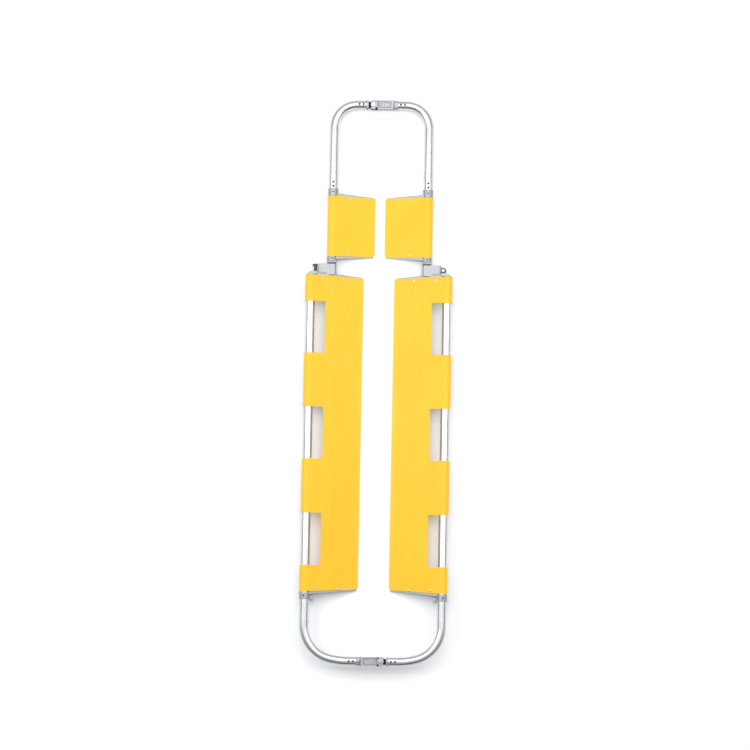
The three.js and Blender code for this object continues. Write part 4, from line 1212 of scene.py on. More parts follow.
def peened_pin(start, end, radius, head_radius, head_width):
    """A pin with a low domed head at each end, from one outer face to the other."""
    profile = [(start, 0.0)]
    for t in np.linspace(90, 0, 7)[1:]:
        rise, reach = 1 - math.sin(math.radians(t)), math.cos(math.radians(t))
        profile.append((start + head_width * 0.7 * rise, head_radius * reach**0.7))
    profile += [(start + head_width, head_radius), (start + head_width, radius)]
    other = [(start + end - s, r) for s, r in reversed(profile)]
    return profile + other


PIN_LOW, PIN_HIGH = low("right_fold_pin"), high("right_fold_pin")
fold_pin = turned("x", peened_pin(PIN_LOW.x, PIN_HIGH.x, PIN_RADIUS, 4.5 * MM, 1.5 * MM), (FOLD_Y, FOLD_Z))
place_pair("fold_pin", fold_pin)

# %% [markdown]
# ## The slide housing
# The largest casting ends the main blade at its foot end. Its lower part is a long box that guides
# the slide tube. A tower on it and beside it holds the lock, a cap closes the side rail's end, and
# a spigot goes inside the rail. The tower's inner wall leans, because a casting needs draft to
# leave its mould.

# %% Slide housing
HOUSING_LOW, HOUSING_HIGH = low("right_slide_housing"), high("right_slide_housing")
housing_front = HOUSING_HIGH.y
GUIDE_LENGTH, GUIDE_WALL = 54 * MM, 3.2 * MM
TOWER_OUTER_X, TOWER_TOP, TOWER_DRAFT, TOWER_CHAMFER = 186 * MM, 46 * MM, 6.5 * MM, 5 * MM
CAP_REACH, CAP_SHOULDER, CAP_HEIGHT = 9 * MM, 2 * MM, 32 * MM
BARREL_RADIUS, BARREL_END_WALL, STEM_RADIUS = 5.3 * MM, 3 * MM, 2.5 * MM
bush_space = RUN_GAP + 1.5 * MM + SEAT_GAP
guide_width, guide_height = SLIDE_WIDTH + 2 * bush_space, SLIDE_HEIGHT + 2 * bush_space
guide_inner_x = LEG_X - guide_width / 2 - GUIDE_WALL
guide_outer_x = LEG_X + guide_width / 2 + GUIDE_WALL
guide_top = LEG_Z + guide_height / 2 + GUIDE_WALL
front_from = blade_to + SEAT_GAP

tower_section = [
    (guide_inner_x, 0.0),
    (TOWER_OUTER_X, 0.0),
    (TOWER_OUTER_X, TOWER_TOP - TOWER_CHAMFER),
    (TOWER_OUTER_X - TOWER_CHAMFER, TOWER_TOP),
    (guide_inner_x + TOWER_DRAFT, TOWER_TOP),
]
cap_plan = [
    (TOWER_OUTER_X - MM, front_from),
    (RAIL_X + RAIL_WIDTH / 2 - MM, front_from),
    (RAIL_X + CAP_SHOULDER, front_from + CAP_REACH),
    (TOWER_OUTER_X - MM, front_from + CAP_REACH),
]
rail_plug = racetrack(RAIL_WIDTH - plug_grow, RAIL_HEIGHT - plug_grow, (RAIL_X, RAIL_Z), 12)
guide_rib, guide_plan = end_rib(MAIN_PANEL, RAIL_INNER_X, FOOT_TAPER, blade_to, 1, BLADE_HIGH.x)
housing = joined(
    block((guide_inner_x, guide_outer_x), (housing_front - GUIDE_LENGTH, housing_front), (0.0, guide_top)),
    prism("y", tower_section, front_from, housing_front),
    prism("z", cap_plan, RAIL_Z - CAP_HEIGHT / 2, RAIL_Z + CAP_HEIGHT / 2),
    prism("y", rail_plug, HOUSING_LOW.y, front_from + MM),
    guide_rib,
)
print("guide opening", round(guide_width / MM, 2), "by", round(guide_height / MM, 2), "mm")

# %% [markdown]
# The housing is hollow from below: one hollow on each side of the lock's barrel under the tower,
# and two pockets in the rib. The bores for the bush, the plunger and its spring are machined after
# casting, so they are cut after the softening and keep their sharp edges.

# %% Hollows and bores of the housing
def at_guide(start, end):
    """Where the line between two corners of the rib's plan meets the guide's inner side."""
    (xa, ya), (xb, yb) = start, end
    return guide_inner_x, ya + (yb - ya) * (guide_inner_x - xa) / (xb - xa)


corner_0, corner_1, corner_2, corner_3 = guide_plan
inner_plan = [corner_0, at_guide(corner_0, corner_1), at_guide(corner_3, corner_2), corner_3]
hollow_x = (guide_outer_x + 0.5 * MM, TOWER_OUTER_X - BARREL_END_WALL - MM)
hollow_z = (-MM, 30 * MM)
tower_hollow = block(
    hollow_x, (front_from + RIB_WALL, PLUNGER_Y - BARREL_RADIUS - RIB_WALL), hollow_z
)
front_hollow = block(
    hollow_x, (PLUNGER_Y + BARREL_RADIUS + RIB_WALL, housing_front - RIB_WALL), hollow_z
)
bore_from = min(housing_front - GUIDE_LENGTH, blade_to - RIB_SEAT - FOOT_TAPER) - MM
guide_bore = leg_oval(guide_width, guide_height)
housing = softened(
    cut(housing, tower_hollow, front_hollow, *rib_pockets(MAIN_PANEL, inner_plan, 2)),
    passes=8,
)
housing = cut(
    housing,
    prism("y", guide_bore, bore_from, housing_front + MM),
    bar("x", BARREL_RADIUS, LEG_X, TOWER_OUTER_X - BARREL_END_WALL, (PLUNGER_Y, LEG_Z)),
    bar("x", STEM_RADIUS + RUN_GAP, LEG_X, TOWER_OUTER_X + MM, (PLUNGER_Y, LEG_Z)),
    *(rivet_hole(MAIN_PANEL, x, FOOT_RIVET_Y) for x in MAIN_RIVET_X),
)
place_pair("slide_housing", housing)

# %% [markdown]
# The slide tube runs in a nylon bush, and its rear end carries a nylon stop that is wider than the
# bush. The bush is a thin sleeve with a window for the plunger. The stop has a plug with a slit, as
# a moulded push-fit part has.

# %% Guide bush and slide stop
BUSH_LOW, BUSH_HIGH = low("right_guide_bush"), high("right_guide_bush")
bush_outer = leg_oval(BUSH_HIGH.x - BUSH_LOW.x, BUSH_HIGH.z - BUSH_LOW.z)
bush_bore = leg_oval(SLIDE_WIDTH + 2 * RUN_GAP, SLIDE_HEIGHT + 2 * RUN_GAP)
guide_bush = cut(
    prism("y", bush_outer, BUSH_LOW.y, BUSH_HIGH.y),
    prism("y", bush_bore, BUSH_LOW.y - MM, BUSH_HIGH.y + MM),
    bar("x", BARREL_RADIUS, LEG_X, guide_outer_x, (PLUNGER_Y, LEG_Z)),
)
place_pair("guide_bush", bevelled(guide_bush, 0.3 * MM, angle=60, segments=2))

STOP_LOW, STOP_HIGH = low("right_slide_stop"), high("right_slide_stop")
rim_to = SLIDE_LOW.y - SEAT_GAP
rim_outline = leg_oval(STOP_HIGH.x - STOP_LOW.x, STOP_HIGH.z - STOP_LOW.z)
slide_stop = joined(
    bevelled(prism("y", rim_outline, STOP_LOW.y, rim_to), 0.8 * MM, angle=60, segments=3),
    bevelled(prism("y", plug_outline, STOP_LOW.y + MM, STOP_HIGH.y), 0.8 * MM, angle=60, segments=2),
)
slit = block((LEG_X - 0.8 * MM, LEG_X + 0.8 * MM), (rim_to + 3 * MM, STOP_HIGH.y + MM), (-MM, 60 * MM))
dish = bar("y", 5 * MM, STOP_LOW.y - MM, STOP_LOW.y + 1.6 * MM, (LEG_X, LEG_Z))
place_pair("slide_stop", cut(slide_stop, slit, dish))

# %% [markdown]
# ## The length lock
# A spring pushes a plunger through the bush into a hole of the slide tube. Turning the lever by
# 75 degrees pulls it out. The left lever is drawn lying along the housing and the right one standing up,
# so the two plungers and springs stand at slightly different depths. Their places are read from the
# frame. A plunger is turned steel: a thick nose with a groove round it, and a thin stem behind.

# %% Shape of a plunger
NOSE_LENGTH = 11 * MM


def plunger(node, side):
    start, end = low(node), high(node)
    centre = ((start.y + end.y) / 2, (start.z + end.z) / 2)
    tip, tail = (start.x, end.x) if side > 0 else (-end.x, -start.x)
    radius = (end.y - start.y) / 2
    profile = [
        (tip, 0.0),
        (tip, radius - 1.3 * MM),
        (tip + 0.5 * MM, radius - 0.6 * MM),
        (tip + 1.6 * MM, radius),
        (tip + NOSE_LENGTH - 3.5 * MM, radius),
        (tip + NOSE_LENGTH - 3.1 * MM, radius - 0.4 * MM),
        (tip + NOSE_LENGTH - 2.3 * MM, radius - 0.4 * MM),
        (tip + NOSE_LENGTH - 1.9 * MM, radius),
        (tip + NOSE_LENGTH - 0.4 * MM, radius),
        (tip + NOSE_LENGTH, radius - 0.4 * MM),
        (tip + NOSE_LENGTH, STEM_RADIUS),
        (tail - 0.5 * MM, STEM_RADIUS),
        (tail, STEM_RADIUS - 0.5 * MM),
        (tail, 0.0),
    ]
    mesh = turned("x", profile, centre)
    return mesh if side > 0 else mirrored(mesh)


print("plunger nose", round(NOSE_LENGTH / MM, 1), "mm long")

# %% [markdown]
# A spring is a round wire swept along a helix. Its height goes up evenly, but for the two end
# turns, which lie closed.

# %% Shape of a spring
WIRE_RADIUS = 0.35 * MM
WIRE_SIDES = 10


def coil(axis, centre, radius, start, end, turns, wire=WIRE_RADIUS, steps=28):
    """A compression spring of round wire. Its last turn at each end lies closed and flat."""
    start, end = start + wire, end - wire
    count = int(turns * steps)
    path = []
    closed = 1.0 / turns
    rise_of_closed = 2.1 * wire
    for i in range(count + 1):
        t = i / count
        if t < closed:
            height = start + rise_of_closed * t / closed
        elif t > 1 - closed:
            height = end - rise_of_closed * (1 - t) / closed
        else:
            middle = (t - closed) / (1 - 2 * closed)
            height = start + rise_of_closed + (end - start - 2 * rise_of_closed) * middle
        angle = 2 * math.pi * turns * t
        path.append((radius * math.cos(angle), radius * math.sin(angle), height))
    path = np.array(path)
    along = np.gradient(path, axis=0)
    along /= np.linalg.norm(along, axis=1)[:, None]
    bm = bmesh.new()
    rings = []
    for point, direction in zip(path, along):
        out = np.array([point[0], point[1], 0.0]) / radius
        up = np.cross(direction, out)
        ring = []
        for k in range(WIRE_SIDES):
            angle = 2 * math.pi * k / WIRE_SIDES
            a, b, c = point + wire * (math.cos(angle) * out + math.sin(angle) * up)
            ring.append(bm.verts.new(on_axis(axis, c, centre[0] + a, centre[1] + b)))
        rings.append(ring)
    for one, two in zip(rings, rings[1:]):
        for i in range(WIRE_SIDES):
            j = (i + 1) % WIRE_SIDES
            bm.faces.new((one[i], one[j], two[j], two[i]))
    bm.faces.new(rings[0])
    bm.faces.new(rings[-1])
    return mesh_from(bm)


print("spring wire", round(2 * WIRE_RADIUS / MM, 2), "mm thick")

# %% [markdown]
# Each side has a plunger with its spring behind it.

# %% Place plungers and springs
SPRING_TURNS = 7
lock_springs = {}
for side, name in ((-1, "left"), (1, "right")):
    place("lock_plunger." + name, plunger(name + "_lock_plunger", side), name + "_lock_plunger")
    start, end = low(name + "_lock_spring"), high(name + "_lock_spring")
    lock_coil_radius = (end.z - start.z) / 2 - WIRE_RADIUS
    spring = coil("x", (PLUNGER_Y, LEG_Z), lock_coil_radius, start.x, end.x, SPRING_TURNS)
    lock_springs[name] = place("lock_spring." + name, spring, name + "_lock_spring")
    print(name, "lock spring", round((end.x - start.x) / MM, 1), "mm long")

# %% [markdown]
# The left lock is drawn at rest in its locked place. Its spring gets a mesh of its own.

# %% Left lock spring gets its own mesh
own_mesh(lock_springs["left"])

# %% [markdown]
# The lever is moulded plastic. It has a round hub on the plunger's end, a short arm, and a broad
# knob with small grooves cut round its rim for the fingers. Rebuilding it on a fine grid rounds it
# like a moulding. The hub's bore stops short of its outer face, so the stem doesn't show.


# %% Lock levers
HUB_RADIUS, HUB_WIDTH, ARM_RADIUS = 6.5 * MM, 10 * MM, 4.2 * MM
LEVER_LENGTH, KNOB_RADIUS, KNOB_LENGTH = 21 * MM, 9.5 * MM, 7.5 * MM
HUB_BORE_END, GRIP_RADIUS, GRIP_STEP = 1.5 * MM, 1.3 * MM, 24
GRIP_REACH = KNOB_RADIUS + 0.5 * MM
LEFT_ANGLE, RIGHT_ANGLE = 0.0, 75.0


def lever_pose(angle):
    """From the lever's own axes to its place, turned about the plunger's axis."""
    return Matrix.Translation((0, PLUNGER_Y, LEG_Z)) @ Matrix.Rotation(math.radians(angle), 4, "X")


def lock_lever(angle):
    face_x = TOWER_OUTER_X + RUN_GAP
    middle_x = face_x + HUB_WIDTH / 2
    knob_from = LEVER_LENGTH - KNOB_LENGTH
    knob = [
        (knob_from, 0.0),
        (knob_from, KNOB_RADIUS - 2.2 * MM),
        (knob_from + 1.2 * MM, KNOB_RADIUS - 0.5 * MM),
        (knob_from + 2.6 * MM, KNOB_RADIUS),
        (LEVER_LENGTH - 2.2 * MM, KNOB_RADIUS),
        (LEVER_LENGTH - 0.8 * MM, KNOB_RADIUS - 0.9 * MM),
        (LEVER_LENGTH - 0.2 * MM, KNOB_RADIUS - 2.6 * MM),
        (LEVER_LENGTH, KNOB_RADIUS - 5.0 * MM),
        (LEVER_LENGTH, 0.0),
    ]
    body = joined(
        bar("x", HUB_RADIUS, face_x, face_x + HUB_WIDTH, (0, 0), 40),
        bar("y", ARM_RADIUS, 0, knob_from + MM, (middle_x, 0)),
        turned("y", knob, (middle_x, 0), 48),
    )
    grips = []
    for turn in range(0, 360, GRIP_STEP):
        a = math.radians(turn)
        spot = (middle_x + GRIP_REACH * math.cos(a), GRIP_REACH * math.sin(a))
        grips.append(bar("y", GRIP_RADIUS, knob_from - MM, LEVER_LENGTH + MM, spot, 12))
    reach = 2 * LEVER_LENGTH
    housing_side = block((face_x - reach, face_x), (-reach, reach), (-reach, reach))
    body = softened(cut(body, *grips, housing_side), 0.4 * MM, 3)
    bore_to = face_x + HUB_WIDTH - HUB_BORE_END
    body = cut(body, bar("x", STEM_RADIUS + RUN_GAP, face_x - MM, bore_to, (0, 0)))
    body.transform(lever_pose(angle))
    return body


place("lock_lever.left", mirrored(lock_lever(LEFT_ANGLE)), "left_lock_lever")
place("lock_lever.right", lock_lever(RIGHT_ANGLE), "right_lock_lever")
print("lock levers turned by", LEFT_ANGLE, "and", RIGHT_ANGLE, "degrees")

# %% [markdown]
# ## The couplers
# A coupler joins the two halves at each end. Its body turns on a pivot at the left, which lets the
# halves open like jaws, and takes a tongue at the right. A rocking lever, sunk in the body's top,
# holds the tongue with a catch. Both couplers are the same, drawn once about their own middle, and
# the head one is turned half round. All sizes along X are measured from that middle.

# %% Sizes of a coupler
COUPLER_LOW, COUPLER_HIGH = low("foot_coupler_body"), high("foot_coupler_body")
COUPLER_WIDTH, COUPLER_HEIGHT = COUPLER_HIGH.y - COUPLER_LOW.y, COUPLER_HIGH.z - COUPLER_LOW.z
BODY_FROM, BODY_TO = COUPLER_LOW.x, COUPLER_HIGH.x
COUPLER_CORNER, COUPLER_TOP = 5 * MM, COUPLER_HEIGHT / 2
PIVOT_X, PIVOT_PIN, PIVOT_HEAD = -27.5 * MM, 3.5 * MM, 7.6 * MM
LUG_RADIUS, LUG_TOP, LUG_END_GAP = 9 * MM, 5 * MM, 1.5 * MM
NOTCH_FROM, NOTCH_TO, NOTCH_DEPTH = -20 * MM, -14.5 * MM, 4 * MM
TONGUE_TIP, TONGUE_WIDTH, TONGUE_TOP = 6 * MM, 14 * MM, 4.7 * MM
LEVER_FROM, LEVER_TO, LEVER_WIDTH, LEVER_CORNER = -13.5 * MM, 25.5 * MM, 16 * MM, 4 * MM
LEVER_TOP_Z = COUPLER_TOP - 0.4 * MM
LEVER_UNDER_Z = LEVER_TOP_Z - 4.2 * MM
TRUNNION_RADIUS, TRUNNION_REACH, LEVER_PIVOT_X = 1.5 * MM, 2 * MM, 6 * MM
CATCH_X, CATCH_LENGTH, CATCH_WIDTH = 18 * MM, 8 * MM, 11 * MM
PRESS_BAY_TO, PRESS_ROOM = 3.6 * MM, 2.6 * MM
SPRING_X, SPRING_RADIUS, SPRING_DEPTH = -7.5 * MM, 3 * MM, 9.6 * MM
THROUGH = 2 * COUPLER_TOP
coupler_sizes = (BODY_TO - BODY_FROM, COUPLER_WIDTH, COUPLER_HEIGHT)
print("coupler body", [round(size / MM, 1) for size in coupler_sizes], "mm")

# %% [markdown]
# The body is a block with round corners. Fork, socket, recess, window and pocket are all straight
# cuts. The edges that a hand touches are softened. The cuts in which another piece moves are made
# after that, so that the softening can't narrow them.


# %% Coupler body
def either_side(half):
    return (-half, half)


def coupler_body():
    middle_x = (BODY_FROM + BODY_TO + COUPLER_CORNER) / 2
    length = BODY_TO + COUPLER_CORNER - BODY_FROM
    outline = rounded(length, COUPLER_WIDTH, COUPLER_CORNER, (middle_x, 0.0))
    body = prism("z", outline, -COUPLER_TOP, COUPLER_TOP)
    beyond = (BODY_TO, BODY_TO + 2 * COUPLER_CORNER)
    body = cut(body, block(beyond, either_side(THROUGH), either_side(THROUGH)))
    recess_x = (LEVER_FROM - RUN_GAP, LEVER_TO + RUN_GAP)
    recess_y = either_side(LEVER_WIDTH / 2 + RUN_GAP)
    recess_size = (LEVER_TO - LEVER_FROM + 2 * RUN_GAP, LEVER_WIDTH + 2 * RUN_GAP)
    recess = rounded(*recess_size, LEVER_CORNER - 2.5 * MM, ((LEVER_FROM + LEVER_TO) / 2, 0.0))
    recess_floor = LEVER_UNDER_Z - RUN_GAP
    edge = COUPLER_WIDTH / 2
    notches = [
        block((NOTCH_FROM, NOTCH_TO), span, heights)
        for span in ((edge - NOTCH_DEPTH, THROUGH), (-THROUGH, NOTCH_DEPTH - edge))
        for heights in ((0.0, THROUGH), (-THROUGH, -COUPLER_TOP + NOTCH_DEPTH))
    ]
    body = softened(cut(body, prism("z", recess, recess_floor, THROUGH), *notches), 0.5 * MM)
    fork_x = (BODY_FROM - COUPLER_CORNER, PIVOT_X + LUG_RADIUS + LUG_END_GAP)
    socket_x = (TONGUE_TIP - LUG_END_GAP, BODY_TO + COUPLER_CORNER)
    window_x = (CATCH_X - CATCH_LENGTH / 2 - MM, CATCH_X + CATCH_LENGTH / 2 + MM)
    trunnion_end = LEVER_WIDTH / 2 + TRUNNION_REACH + RUN_GAP
    trunnion_at = (LEVER_PIVOT_X, LEVER_UNDER_Z + TRUNNION_RADIUS)
    pocket_floor = LEVER_UNDER_Z - SPRING_DEPTH
    lug_gap, tongue_gap = LUG_TOP + RUN_GAP, TONGUE_TOP + RUN_GAP
    return cut(
        body,
        block(fork_x, either_side(THROUGH), either_side(lug_gap)),
        block(socket_x, either_side(TONGUE_WIDTH / 2 + MM), either_side(tongue_gap)),
        prism("z", recess, recess_floor, COUPLER_TOP - MM),
        block((recess_x[0], PRESS_BAY_TO), recess_y, (recess_floor - PRESS_ROOM, COUPLER_TOP - MM)),
        block(window_x, either_side(CATCH_WIDTH / 2 + RUN_GAP), (0.0, COUPLER_TOP - MM)),
        bar("z", SPRING_RADIUS + 0.7 * MM + RUN_GAP, pocket_floor, COUPLER_TOP - MM, (SPRING_X, 0)),
        bar("y", TRUNNION_RADIUS + RUN_GAP, -trunnion_end, trunnion_end, trunnion_at),
        bar("z", PIVOT_PIN + RUN_GAP, -THROUGH, THROUGH, (PIVOT_X, 0)),
    )


print("recess floor at", round((LEVER_UNDER_Z - RUN_GAP) / MM, 2), "mm above the middle")

# %% [markdown]
# The release lever is a plate with round corners, with the catch under one end and a trunnion out
# of each side. Four grooves across the pressed end stop a wet thumb from slipping, and a shallow
# panel is sunk over the catch. The whole plate stays inside its recess.

# %% Release lever and its spring
GROOVE_XS = [-10.5 * MM, -8.0 * MM, -5.5 * MM, -3.0 * MM]
GROOVE_RADIUS, GROOVE_INSET = 0.8 * MM, 2.5 * MM
PANEL_X, PANEL_LENGTH, PANEL_DEPTH = 14.5 * MM, 17 * MM, 0.6 * MM


def release_lever():
    middle = ((LEVER_FROM + LEVER_TO) / 2, 0.0)
    plate = rounded(LEVER_TO - LEVER_FROM, LEVER_WIDTH, LEVER_CORNER, middle)
    catch_span = (CATCH_X - CATCH_LENGTH / 2, CATCH_X + CATCH_LENGTH / 2)
    trunnion_end = LEVER_WIDTH / 2 + TRUNNION_REACH
    pivot_z = LEVER_UNDER_Z + TRUNNION_RADIUS
    body = joined(
        prism("z", plate, LEVER_UNDER_Z, LEVER_TOP_Z),
        block(catch_span, either_side(CATCH_WIDTH / 2), (TONGUE_TOP + RUN_GAP, LEVER_TOP_Z - MM)),
        bar("y", TRUNNION_RADIUS, -trunnion_end, trunnion_end, (LEVER_PIVOT_X, pivot_z)),
    )
    end, groove_z = LEVER_WIDTH / 2 - GROOVE_INSET, LEVER_TOP_Z + 0.2 * MM
    grooves = [bar("y", GROOVE_RADIUS, -end, end, (x, groove_z), 16) for x in GROOVE_XS]
    panel = rounded(PANEL_LENGTH, LEVER_WIDTH - 4 * MM, 3 * MM, (PANEL_X, 0.0))
    sunk = prism("z", panel, LEVER_TOP_Z - PANEL_DEPTH, THROUGH)
    return softened(cut(body, *grooves, sunk), 0.35 * MM, 3)


def release_spring():
    floor_z = LEVER_UNDER_Z - SPRING_DEPTH
    top_z = floor_z + SPRING_DEPTH - SEAT_GAP
    return coil("z", (SPRING_X, 0.0), SPRING_RADIUS, floor_z + SEAT_GAP, top_z, 5)


print("release lever", round((LEVER_TOP_Z - LEVER_UNDER_Z) / MM, 1), "mm thick")

# %% [markdown]
# The pivot is a large rivet through the fork and the clevis's lug. Its round heads stand proud of
# the body on both sides, with a rim and a small centre mark from the tool that formed it.

# %% Coupler pivot
PIVOT_RISE = 1.5 * MM


def coupler_pivot():
    face, top = COUPLER_TOP + RUN_GAP, COUPLER_TOP + RUN_GAP + PIVOT_RISE
    half = [
        (0.0, PIVOT_PIN),
        (face, PIVOT_PIN),
        (face, PIVOT_HEAD),
        (face + 0.6 * MM, PIVOT_HEAD),
        (top - 0.3 * MM, PIVOT_HEAD - 0.7 * MM),
        (top - 0.05 * MM, PIVOT_HEAD - 1.6 * MM),
        (top, PIVOT_HEAD - 2.4 * MM),
        (top, 2.2 * MM),
        (top - 0.5 * MM, 1.4 * MM),
        (top - 0.5 * MM, 0.0),
    ]
    lower = [(-s, r) for s, r in reversed(half[1:])]
    return turned("z", lower + half[1:], (PIVOT_X, 0.0), 48)


print("pivot head", round(2 * PIVOT_HEAD / MM, 1), "mm across")

# %% [markdown]
# Both end fittings are a block at the end of the tube, a little smaller than the body, with a
# spigot that goes inside. The clevis carries the round lug for the pivot. The tongue is chamfered
# at its tip and notched on top for the catch.

# %% Clevis and tongue
CLEVIS_FACE = -41.3 * MM
FITTING_STEP, FITTING_CORNER = 1.4 * MM, 6 * MM
TONGUE_NOSE, CATCH_DEPTH = 2.5 * MM, 2.5 * MM


def end_fitting(face_x, tube_width, tube_height):
    face = rounded(COUPLER_WIDTH - FITTING_STEP, COUPLER_HEIGHT - FITTING_STEP, FITTING_CORNER)
    spigot = racetrack(tube_width - plug_grow, tube_height - plug_grow)
    return joined(
        prism("x", face, face_x, COUPLER_HALF_SPAN),
        prism("x", spigot, face_x + MM, COUPLER_HALF_SPAN + COUPLER_SPIGOT),
    )


def coupler_clevis(tube_width, tube_height):
    fitting = end_fitting(-CLEVIS_FACE, tube_width, tube_height)
    fitting.transform(Matrix.Rotation(math.pi, 4, "Z"))
    body = joined(
        fitting,
        block((CLEVIS_FACE - MM, PIVOT_X), either_side(LUG_RADIUS), either_side(LUG_TOP)),
        bar("z", LUG_RADIUS, -LUG_TOP, LUG_TOP, (PIVOT_X, 0), 48),
    )
    bore = bar("z", PIVOT_PIN + RUN_GAP, -THROUGH, THROUGH, (PIVOT_X, 0))
    return cut(softened(body, 0.45 * MM, 3), bore)


def coupler_tongue(tube_width, tube_height):
    face_x, half = BODY_TO + SEAT_GAP, TONGUE_WIDTH / 2
    plan = [
        (TONGUE_TIP, TONGUE_NOSE - half),
        (TONGUE_TIP + TONGUE_NOSE, -half),
        (face_x + MM, -half),
        (face_x + MM, half),
        (TONGUE_TIP + TONGUE_NOSE, half),
        (TONGUE_TIP, half - TONGUE_NOSE),
    ]
    notch_x = (CATCH_X - CATCH_LENGTH / 2 - RUN_GAP, CATCH_X + CATCH_LENGTH / 2 + RUN_GAP)
    notch = block(notch_x, either_side(THROUGH), (TONGUE_TOP - CATCH_DEPTH, THROUGH))
    tongue = cut(prism("z", plan, -TONGUE_TOP, TONGUE_TOP), notch)
    return softened(joined(end_fitting(face_x, tube_width, tube_height), tongue), 0.45 * MM, 3)


print("spigots reach", round(COUPLER_SPIGOT / MM, 1), "mm into the tubes")

# %% [markdown]
# Pressing the lever turns it about its trunnions and pushes the spring down.

# %% [markdown]
# Shade is painted where the parts of a coupler meet: round the lug in the fork, in the notches,
# behind the tongue's shoulder, and round and under the lever. The pivot gets painted shade at its rim
# and centre mark, and a little over its whole face, which dulls its reflection of the lamp. Storing
# that as painted shade darkens those faces in the finish, and the outer faces stay clean.

# %% Painted shade on a coupler
# Amounts of painted shade: beside the lever, on its edges, on the pivot's rim and over the pivot's face.
BESIDE_LEVER, ON_LEVER_EDGE, ON_PIVOT_RIM, ON_PIVOT_FACE = 0.6, 0.6, 0.85, 0.2


# Painted shade in the fork slot, round the lug, in the notches, at the tongue's seam and beside the lever.
def coupler_grime(place_at):
    x, y, z = abs(place_at.x), abs(place_at.y), abs(place_at.z)
    in_slot = -CLEVIS_FACE - 0.8 * MM > x > -BODY_FROM - 1.2 * MM and place_at.x < 0
    round_lug = place_at.x < 0 and z < LUG_TOP + 1.2 * MM and x > -PIVOT_X - LUG_RADIUS
    near_notch = NOTCH_FROM - 0.7 * MM < place_at.x < NOTCH_TO + 0.7 * MM
    in_notch = near_notch and y > COUPLER_WIDTH / 2 - NOTCH_DEPTH - 0.8 * MM
    at_seam = abs(place_at.x - BODY_TO) < 1.1 * MM
    recess_x = max(LEVER_FROM - place_at.x, place_at.x - LEVER_TO)
    beside_lever = abs(max(recess_x, y - LEVER_WIDTH / 2) - 0.3 * MM) < 0.7 * MM and place_at.z > 0
    if in_slot or round_lug or in_notch or at_seam:
        return 1.0
    return BESIDE_LEVER if beside_lever else 0.0


# Painted shade on the lever's edges and its underside.
def lever_grime(place_at):
    edge_x = max(LEVER_FROM - place_at.x, place_at.x - LEVER_TO)
    edge = max(edge_x, abs(place_at.y) - LEVER_WIDTH / 2)
    return ON_LEVER_EDGE if edge > -0.8 * MM or place_at.z < LEVER_UNDER_Z + MM else 0.0


# Painted shade on the pivot's rim and centre mark, and lighter painted shade over its face.
def pivot_grime(place_at):
    reach = math.hypot(place_at.x - PIVOT_X, place_at.y)
    return ON_PIVOT_RIM if reach > PIVOT_HEAD - 0.5 * MM or reach < 1.6 * MM else ON_PIVOT_FACE


print("grime on the pivot's rim", ON_PIVOT_RIM, "and on its face", ON_PIVOT_FACE)

# %% [markdown]
# The six pieces of a coupler are made about its own middle, given their painted shade, and then
# moved to their end of the stretcher. The release spring gets a mesh of its own.


# %% Place both couplers
def place_coupler(end, height, cross_y, turn, tube_width, tube_height):
    where = Matrix.Translation((0.0, cross_y, height)) @ Matrix.Rotation(turn, 4, "Z")
    pieces = {
        "coupler_body": coupler_body(),
        "coupler_clevis": coupler_clevis(tube_width, tube_height),
        "coupler_pivot": coupler_pivot(),
        "coupler_tongue": coupler_tongue(tube_width, tube_height),
        "release_lever": release_lever(),
        "release_spring": release_spring(),
    }
    # Painted shade is stored on the body, clevis and tongue, on the lever and on the pivot.
    for part in ("coupler_body", "coupler_clevis", "coupler_tongue"):
        soiled(pieces[part], coupler_grime)
    soiled(pieces["release_lever"], lever_grime)
    soiled(pieces["coupler_pivot"], pivot_grime)
    for part, mesh in pieces.items():
        mesh.transform(where)
        piece = place(part + "." + end, mesh, end + "_" + part)
        if part == "release_spring":
            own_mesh(piece)
    print(end, "coupler at y", round(cross_y, 4), "and z", round(height, 4))


place_coupler("foot", LEG_Z, FOOT_CROSS_Y, 0.0, LEG_WIDTH, LEG_HEIGHT)
place_coupler("head", RAIL_Z, HEAD_CROSS_Y, math.pi, RAIL_WIDTH, RAIL_HEIGHT)

# %% [markdown]
# ## Small fastenings
# Set screws and blind rivets are not moving parts, so the frame leaves them out. They ride on the
# body of the piece that they hold. A blind rivet has a low head with a deep pocket in its middle,
# where the stem broke off. The pocket is painted dark: partly the dark steel of the broken stem,
# partly painted shade in the hole.

# %% Blind rivets in the tubes
BLIND_HEAD, BLIND_POCKET, BLIND_RISE = 3.5 * MM, 2.5 * MM, 0.8 * MM


def blind_rivet(place, up=1.0):
    profile = [
        (-1.6 * MM, 0.0),
        (-1.6 * MM, BLIND_HEAD - 0.9 * MM),
        (0.0, BLIND_HEAD),
        (0.25 * MM, BLIND_HEAD),
        (BLIND_RISE - 0.15 * MM, BLIND_HEAD - 0.5 * MM),
        (BLIND_RISE, BLIND_HEAD - 0.8 * MM),
        (BLIND_RISE - 0.1 * MM, BLIND_POCKET + 0.1 * MM),
        (BLIND_RISE - 0.3 * MM, BLIND_POCKET),
        (0.1 * MM, BLIND_POCKET - 0.1 * MM),
        (0.1 * MM, 0.0),
    ]
    mesh = turned("z", profile, (0.0, 0.0), 28)
    # Painted dark in the pocket: partly the broken stem's dark steel, partly painted shade in the hole.
    mesh = soiled(mesh, lambda co: 1.0 if math.hypot(co.x, co.y) < BLIND_POCKET + 0.15 * MM else 0.0)
    if up < 0:
        mesh.transform(Matrix.Rotation(math.pi, 4, "X"))
    mesh.transform(Matrix.Translation(place))
    return mesh


def through_rivets(places, z, height):
    """Rivets at the top and the bottom of a tube, as one mesh."""
    made = []
    for x, y in places:
        made.append(blind_rivet((x, y, z + height / 2)))
        made.append(blind_rivet((x, y, z - height / 2), -1.0))
    return gathered(*made)


def dress_pair(name, mesh, slot, body):
    dress(name + ".left", mirrored(mesh), slot, "left_" + body)
    dress(name + ".right", mesh, slot, "right_" + body)
    print(name, "ride on the left and right", body)


